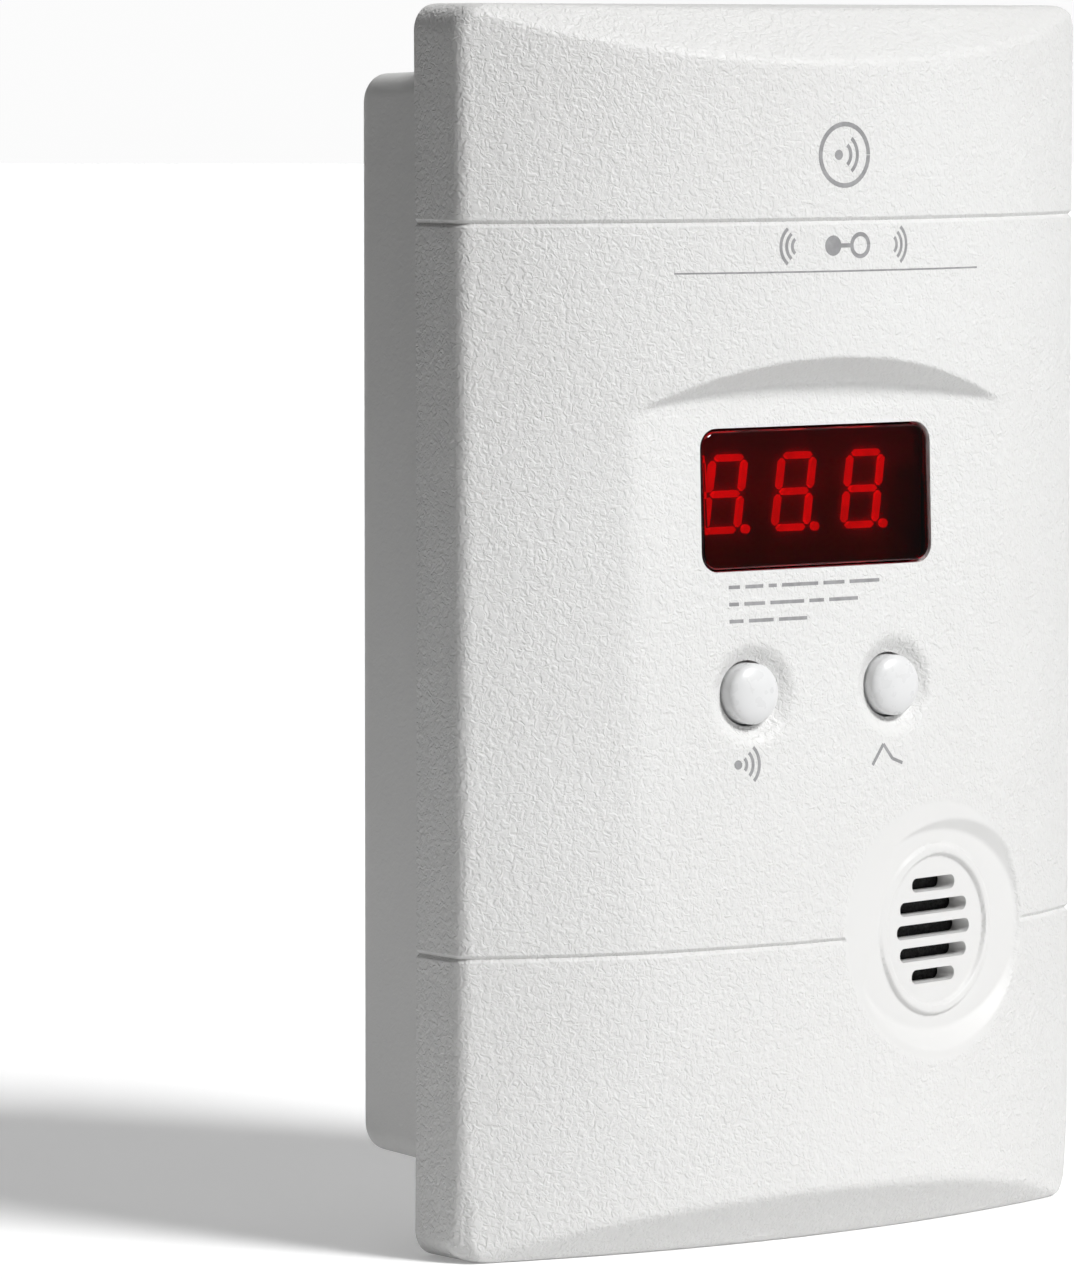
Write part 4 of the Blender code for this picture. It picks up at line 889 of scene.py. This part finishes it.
def rear_housing():
    """Drafted pan with flange, pillars, battery bay, vents and openings."""
    housing = Body().loft(pan_rings(0.0, FLANGE_FRONT, 12, 10)).make("housing")
    flange = Body().prism(flange_outline(), FLANGE_FRONT, FLANGE_BACK, "Y").make("flange")
    combine(housing, flange, "UNION")
    cavity = Body().loft(pan_rings(WALL, FLANGE_FRONT - 2.0, 6, 4)).make("pan_hollow")
    keepers = Body()
    for x, z in PILLARS:
        keepers.turned(((4.0, 15.0), (4.0, 40.0)), (x, 0.0, z), (0, 1, 0), 24)
    half = BAY_HALF_WIDTH + 1.5
    keepers.box((-half, 15.0, 5.0), (half, 40.0, BAY_Z[1] + 1.5))
    combine(cavity, keepers.make("keepers"))
    for side in (-1.0, 1.0):
        inner, outer = sorted((side * 27.2, side * 31.5))
        combine(cavity, Body().box((inner, 36.4, 5.0), (outer, 40.0, 17.4)).make("hinge_boss"))
    combine(housing, cavity)
    combine(housing, Body().box((-60.0, 10.0, -10.0), (60.0, PILLAR_FRONT, 160.0)).make("trim"))
    combine(housing, back_openings())
    hollow = Body().box((-BAY_HALF_WIDTH, BAY_FLOOR, BAY_Z[0]), (BAY_HALF_WIDTH, 39.5, BAY_Z[1]))
    combine(housing, hollow.make("bay"))
    back = DEPTH - DOOR_THICKNESS - GAP
    opening = ((37.4, HINGE_Z - 1.95), (DEPTH + 2.0, HINGE_Z - 1.95), (DEPTH + 2.0, DOOR_TOP + 0.4),
               (back, DOOR_TOP + 0.4), (back, 17.2), (37.4, 17.2))
    reach = DOOR_HALF_WIDTH + 0.4
    combine(housing, Body().prism(opening, -reach, reach, "X").make("doorway"))
    bore = ((HINGE_PIN_RADIUS + GAP, 0.0), (HINGE_PIN_RADIUS + GAP, 2.0 * BORE_REACH))
    bores = Body().turned(bore, (-BORE_REACH, HINGE_Y, HINGE_Z), (1, 0, 0), 24)
    combine(housing, bores.make("bores"), sharp=40.0)
    return stands_for(housing, "rear_case", "root", MATERIALS["rear_case"], "rear_housing")


def battery_door():
    """Door with its hinge barrel, end pins, latch tongue and grip grooves."""
    inner = DEPTH - DOOR_THICKNESS
    edge = 0.35
    barrel = arc((HINGE_Y, HINGE_Z), HINGE_RADIUS, math.radians(-205.0), 0.0, 24)
    outline = barrel + [(DEPTH, DOOR_TOP - edge), (DEPTH - edge, DOOR_TOP), (inner, DOOR_TOP),
                        (inner, HINGE_Z + HINGE_RADIUS)]
    door = Body().prism(outline, -DOOR_HALF_WIDTH, DOOR_HALF_WIDTH, "X").make("door")
    pin = ((HINGE_PIN_RADIUS, 0.0), (HINGE_PIN_RADIUS, 2.0 * PIN_REACH))
    pins = Body().turned(pin, (-PIN_REACH, HINGE_Y, HINGE_Z), (1, 0, 0), 24)
    combine(door, pins.make("pins"), "UNION")
    tongue = ((36.4, 43.5), (37.2, 44.6), (inner + 0.5, 44.6), (inner + 0.5, 43.4), (37.2, 43.4))
    combine(door, Body().prism(tongue, -6.0, 6.0, "X").make("tongue"), "UNION")
    grooves = Body()
    for i in range(4):
        z = 37.0 + i * 1.9 + 0.45
        grooves.prism(centred_rectangle((0.0, z), (18.0, 0.9), 0.4, 6), DEPTH - 0.5, DEPTH + 1.0, "Y")
    combine(door, grooves.make("grooves"), sharp=40.0)
    return stands_for(door, "rear_case", "battery_door", MATERIALS["rear_case"], "battery_door")


def plug_base():
    """Insert that carries the blades, with a slot for each."""
    rim_back = DEPTH - WALL - GAP
    rim_front = rim_back - 2.0
    edge = 0.4
    levels = ((0.0, 33.0), (0.0, rim_front), (2.0, rim_front), (2.0, rim_back), (0.0, rim_back),
              (0.0, DEPTH - edge), (-edge * 0.3, DEPTH - edge * 0.3), (-edge, DEPTH))
    rings = []
    for grow, y in levels:
        size = (PLUG_BASE[0] + 2.0 * grow, PLUG_BASE[1] + 2.0 * grow)
        rings.append([(x, y, z) for x, z in centred_rectangle((0.0, PLUG_HEIGHT), size, 2.7, 8)])
    base = Body().loft(rings).make("plug_insert")
    slots = Body()
    for side in (-1.0, 1.0):
        centre = (side * BLADE_SPACING / 2.0, PLUG_HEIGHT)
        size = (BLADE_THICKNESS + 2.0 * GAP, BLADE_WIDTH + 2.0 * GAP)
        slots.prism(centred_rectangle(centre, size, 0.25, 3), 30.0, DEPTH + 2.0, "Y")
    combine(base, slots.make("slots"))
    return stands_for(base, "rear_case", "root", MATERIALS["rear_case"], "plug_base")


def plug_blade(name, side):
    """Flat blade with a tapered tip and a round hole."""
    x = side * BLADE_SPACING / 2.0
    half = BLADE_WIDTH / 2.0
    tip = DEPTH + BLADE_REACH
    tail = 1.2
    lower = [(27.0, -tail), (32.0, -tail), (32.0, -half), (tip - 1.6, -half), (tip, 1.4 - half)]
    upper = [(y, -z) for y, z in reversed(lower)]
    outline = [(y, PLUG_HEIGHT + z) for y, z in lower + upper]
    thick = BLADE_THICKNESS / 2.0
    blade = Body().prism(outline, x - thick, x + thick, "X").make(f"{name}_metal")
    hole = Body().turned(((1.6, -3.0), (1.6, 3.0)), (x, DEPTH + 11.8, PLUG_HEIGHT), (1, 0, 0), 40)
    combine(blade, hole.make("hole"))
    soften(blade, 0.22, 3)
    return stands_for(blade, "brass", "root", MATERIALS["brass"], name)


def rating_label():
    """Blank label with rounded corners in its pocket."""
    size = (2.0 * LABEL_HALF_WIDTH, LABEL_Z[1] - LABEL_Z[0])
    outline = centred_rectangle((0.0, (LABEL_Z[0] + LABEL_Z[1]) / 2.0), size, 1.5, 8)
    label = Body().prism(outline, DEPTH - 0.4, DEPTH - 0.1, "Y").make("label")
    return stands_for(label, "label", "root", MATERIALS["label"], "rating_label")


def case_screw(number, x, z):
    """Pan-head screw with a cross recess and a turned thread."""
    head = COUNTERBORE_FLOOR + GAP
    profile = [(0.4, SCREW_TIP), (0.9, SCREW_TIP + 1.0)]
    turns = int((head - SCREW_TIP - 2.5) / SCREW_PITCH)
    for i in range(turns):
        foot = SCREW_TIP + 1.2 + i * SCREW_PITCH
        profile += [(1.1, foot), (1.5, foot + SCREW_PITCH * 0.45)]
    profile += [(1.1, head - 0.8), (1.5, head), (2.8, head), (2.8, head + 1.4)]
    profile += [(2.5, head + 2.0), (1.6, head + 2.2)]
    screw = Body().turned(profile, (x, 0.0, z), (0, 1, 0), 32).make(f"screw_{number}")
    long, short = 1.5, 0.36
    for a, b in ((long, short), (short, long)):
        cross = Body().box((x - a, head + 1.2, z - b), (x + a, head + 4.0, z + b))
        combine(screw, cross.make("cross"))
    return stands_for(screw, "steel", "root", MATERIALS["steel"], f"case_screw_{number}")


# ---------------------------------------------------------------- printing

def on_surface(points):
    """Lay flat (x, z) points on the cover's front."""
    xs = np.array([p[0] for p in points])
    zs = np.array([p[1] for p in points])
    return xs, surface_y(xs, zs), zs


class Print:
    """Thin closed patches of ink that follow the curved front."""

    def __init__(self):
        self.body = Body()

    def patch(self, outline):
        """A convex outline as a thin plate of ink."""
        xs, ys, zs = on_surface(outline)
        rings = [list(zip(xs, ys + lift, zs)) for lift in (INK_SUNK, -INK_PROUD)]
        self.body.loft(rings)

    def bar(self, start, end, width):
        """A straight stroke, split so that it follows the curve."""
        start, end = Vector(start), Vector(end)
        along = end - start
        side = Vector((-along.y, along.x)).normalized() * width / 2.0
        steps = max(1, int(along.length / 1.5))
        lower, upper = [], []
        for i in range(steps + 1):
            point = start + along * i / steps
            lower.append(point - side)
            upper.append(point + side)
        self.ribbon(lower, upper)

    def ribbon(self, lower, upper):
        """A strip between two runs of points."""
        rings = []
        for a, b in zip(lower, upper):
            xs, ys, zs = on_surface([a, b])
            rings.append([(xs[0], ys[0] + INK_SUNK, zs[0]), (xs[1], ys[1] + INK_SUNK, zs[1]),
                          (xs[1], ys[1] - INK_PROUD, zs[1]), (xs[0], ys[0] - INK_PROUD, zs[0])])
        self.body.loft(rings)

    def curve(self, centre, radius, width, start, end):
        """A stroke along an arc, angles in degrees."""
        steps = max(6, int(abs(end - start) / 10.0))
        a, b = math.radians(start), math.radians(end)
        inner = arc(centre, radius - width / 2.0, a, b, steps)
        outer = arc(centre, radius + width / 2.0, a, b, steps)
        self.ribbon(inner, outer)

    def dot(self, centre, radius):
        """A filled disc."""
        self.patch(arc(centre, radius, 0.0, math.pi * 2.0 * 19.0 / 20.0, 19))

    def make(self, name):
        """Turn the patches into one piece on the case."""
        obj = self.body.make(name)
        return stands_for(obj, None, "root", MATERIALS["ink"])


def print_marks():
    """Generic pictograms and lines in place of the printed words."""
    badge = Print()
    badge.curve((0.0, BADGE_Z), 3.6, 0.55, 0.0, 359.0)
    for radius in (1.5, 2.5):
        badge.curve((-0.6, BADGE_Z), radius, 0.45, -50.0, 50.0)
    badge.dot((-0.9, BADGE_Z), 0.6)
    badge.make("print_badge")

    title = Print()
    title.bar((-23.0, RULE_Z), (22.7, RULE_Z), 0.2)
    title.dot((-1.7, TITLE_Z), 1.2)
    title.bar((-0.6, TITLE_Z), (0.9, TITLE_Z), 0.5)
    title.curve((2.4, TITLE_Z), 1.3, 0.5, 0.0, 359.0)
    for side, middle in ((-1.0, 0.0), (1.0, 180.0)):
        for radius in (1.1, 1.9, 2.7):
            title.curve((side * 6.8 + 0.3, TITLE_Z), radius, 0.4, middle + 130.0, middle + 230.0)
    title.make("print_title")

    notes = Print()
    for z, pieces in NOTE_ROWS:
        x = NOTE_LEFT
        for length in pieces:
            notes.bar((x, z), (x + length, z), 0.42)
            x += length + NOTE_GAP
    notes.make("print_notes")

    test = Print()
    for radius in (1.0, 1.9, 2.8):
        test.curve((-13.4, SIGN_Z), radius, 0.4, -45.0, 45.0)
    test.dot((-13.6, SIGN_Z), 0.55)
    test.make("print_test")

    peak = Print()
    peak.bar((6.4, 56.2), (8.2, 58.6), 0.4)
    peak.bar((8.2, 58.6), (9.6, 56.8), 0.4)
    peak.bar((9.6, 56.8), (11.2, 56.2), 0.4)
    peak.make("print_peak")


# ---------------------------------------------------------------- carried-over nodes, stage, light and camera

NODE_FINISHES = {
    "display_socket": "black", "test_switch_plunger": "black", "peak_switch_plunger": "black",
    "test_switch_body": "steel", "peak_switch_body": "steel", "sounder_screen": "screen",
    "horn_housing": "black", "piezo_disc": "brass", "main_board": "board", "power_board": "board",
    "sensor_cell": "steel", "sensor_cap": "black", "microcontroller": "black", "sounder_driver": "black",
    "reservoir_capacitor": "sleeve", "filter_capacitor": "sleeve", "fuse": "steel", "varistor": "sleeve",
    "transformer_core": "core", "transformer_winding": "winding", "battery": "battery",
    "battery_stud_positive": "steel", "battery_stud_negative": "steel", "contact_positive": "steel",
    "contact_negative": "steel", "board_screw_1": "steel", "board_screw_2": "steel",
}


def finish_nodes():
    """Give every carried-over CAD node its procedural finish."""
    for node, finish in NODE_FINISHES.items():
        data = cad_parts[node].data
        data.materials.clear()
        data.materials.append(MATERIALS[finish])


def make_stage():
    """Pale floor, a plain backdrop dome, and a dark cloth that keeps stray light off the left side."""
    floor = Body()
    reach = 9000.0
    floor.prism(rounded_rectangle((-reach, -reach), (reach, reach), 4000.0, 12), -12.0, 0.0, "Z")
    floor = floor.make("floor")
    n = Nodes("floor_paper")
    n.tint(n.noise(3.0, detail=2.0), (0.93, 0.93, 0.93), (0.95, 0.95, 0.95))
    n.link(n.ramp(n.noise(40.0), 0.3, 0.7, 0.75, 0.85), n.shader.inputs["Roughness"])
    n.set(Emission_Color=(1.0, 1.0, 1.0, 1.0), Emission_Strength=0.15)
    floor.data.materials.append(n.material)
    floor.visible_glossy = False

    dome = Body()
    radius = 8500.0
    angles = np.linspace(-0.02, math.pi / 2.0 - 0.01, 24)
    profile = [(radius * math.cos(a), radius * math.sin(a)) for a in angles]
    dome.turned(profile, (0.0, 0.0, 0.0), (0, 0, 1), 64)
    dome = dome.make("backdrop")
    n = Nodes("backdrop_white")
    n.set(Base_Color=(0.0, 0.0, 0.0, 1.0), Emission_Color=(1.0, 1.0, 1.0, 1.0), Emission_Strength=0.96)
    dome.data.materials.append(n.material)
    dome.visible_diffuse = False
    dome.visible_glossy = False
    dome.visible_transmission = False
    dome.visible_shadow = False

    flag = Body().box((-235.0, -150.0, 0.0), (-230.0, 420.0, 480.0)).make("flag")
    n = Nodes("flag_cloth")
    n.tint(n.noise(200.0), (0.015, 0.015, 0.015), (0.03, 0.03, 0.03))
    n.set(Roughness=0.9)
    flag.data.materials.append(n.material)
    flag.visible_camera = False
    flag.visible_glossy = False
    flag.visible_shadow = False


def add_sun(name, direction, strength, angle):
    """Soft distant light that travels along a direction."""
    light = bpy.data.lights.new(name, "SUN")
    light.energy = strength
    light.angle = math.radians(angle)
    obj = bpy.data.objects.new(name, light)
    obj.rotation_mode = "QUATERNION"
    obj.rotation_quaternion = Vector(direction).to_track_quat("-Z", "Y")
    bpy.context.scene.collection.objects.link(obj)


def make_light():
    """A large soft key from the front and above, wide lights overhead and behind, and an even fill."""
    add_sun("key", (-0.26, 0.71, -0.65), 3.35, 18.0)
    add_sun("overhead", (-0.05, 0.1, -1.0), 0.45, 80.0)
    add_sun("behind", (-0.25, -0.85, -0.45), 0.7, 70.0)
    world = bpy.data.worlds.new("studio")
    world.use_nodes = True
    background = world.node_tree.nodes["Background"]
    background.inputs["Color"].default_value = (1.0, 1.0, 1.0, 1.0)
    background.inputs["Strength"].default_value = 0.08
    bpy.context.scene.world = world
    bpy.context.scene.view_settings.view_transform = "Standard"


CAMERA_PLACE = (-569.0, -697.0, 141.0)
CAMERA_YAW = math.radians(36.93)
CAMERA_PITCH = math.radians(4.42)
CAMERA_LENS = 215.5


def make_camera():
    """Long lens from the front left, slightly above the alarm."""
    data = bpy.data.cameras.new("camera")
    data.lens = CAMERA_LENS
    data.sensor_width = 36.0
    data.clip_end = 30.0
    camera = bpy.data.objects.new("camera", data)
    camera.location = Vector(CAMERA_PLACE) * MM + CASE
    flat = Vector((math.sin(CAMERA_YAW), math.cos(CAMERA_YAW), 0.0)) * math.cos(CAMERA_PITCH)
    look = flat - Vector((0.0, 0.0, math.sin(CAMERA_PITCH)))
    camera.rotation_mode = "QUATERNION"
    camera.rotation_quaternion = look.to_track_quat("-Z", "Y")
    bpy.context.scene.collection.objects.link(camera)
    bpy.context.scene.camera = camera


make_camera()
make_light()
make_stage()
front_cover()
display_lens()
display_face()
for number in (1, 2, 3):
    figure(number)
for name, x in BUTTONS.items():
    push_button(name, x)
rear_housing()
battery_door()
plug_base()
plug_blade("blade_left", -1.0)
plug_blade("blade_right", 1.0)
rating_label()
for number, (x, z) in enumerate(PILLARS, 1):
    case_screw(number, x, z)
print_marks()
finish_nodes()

bpy.context.view_layer.update()
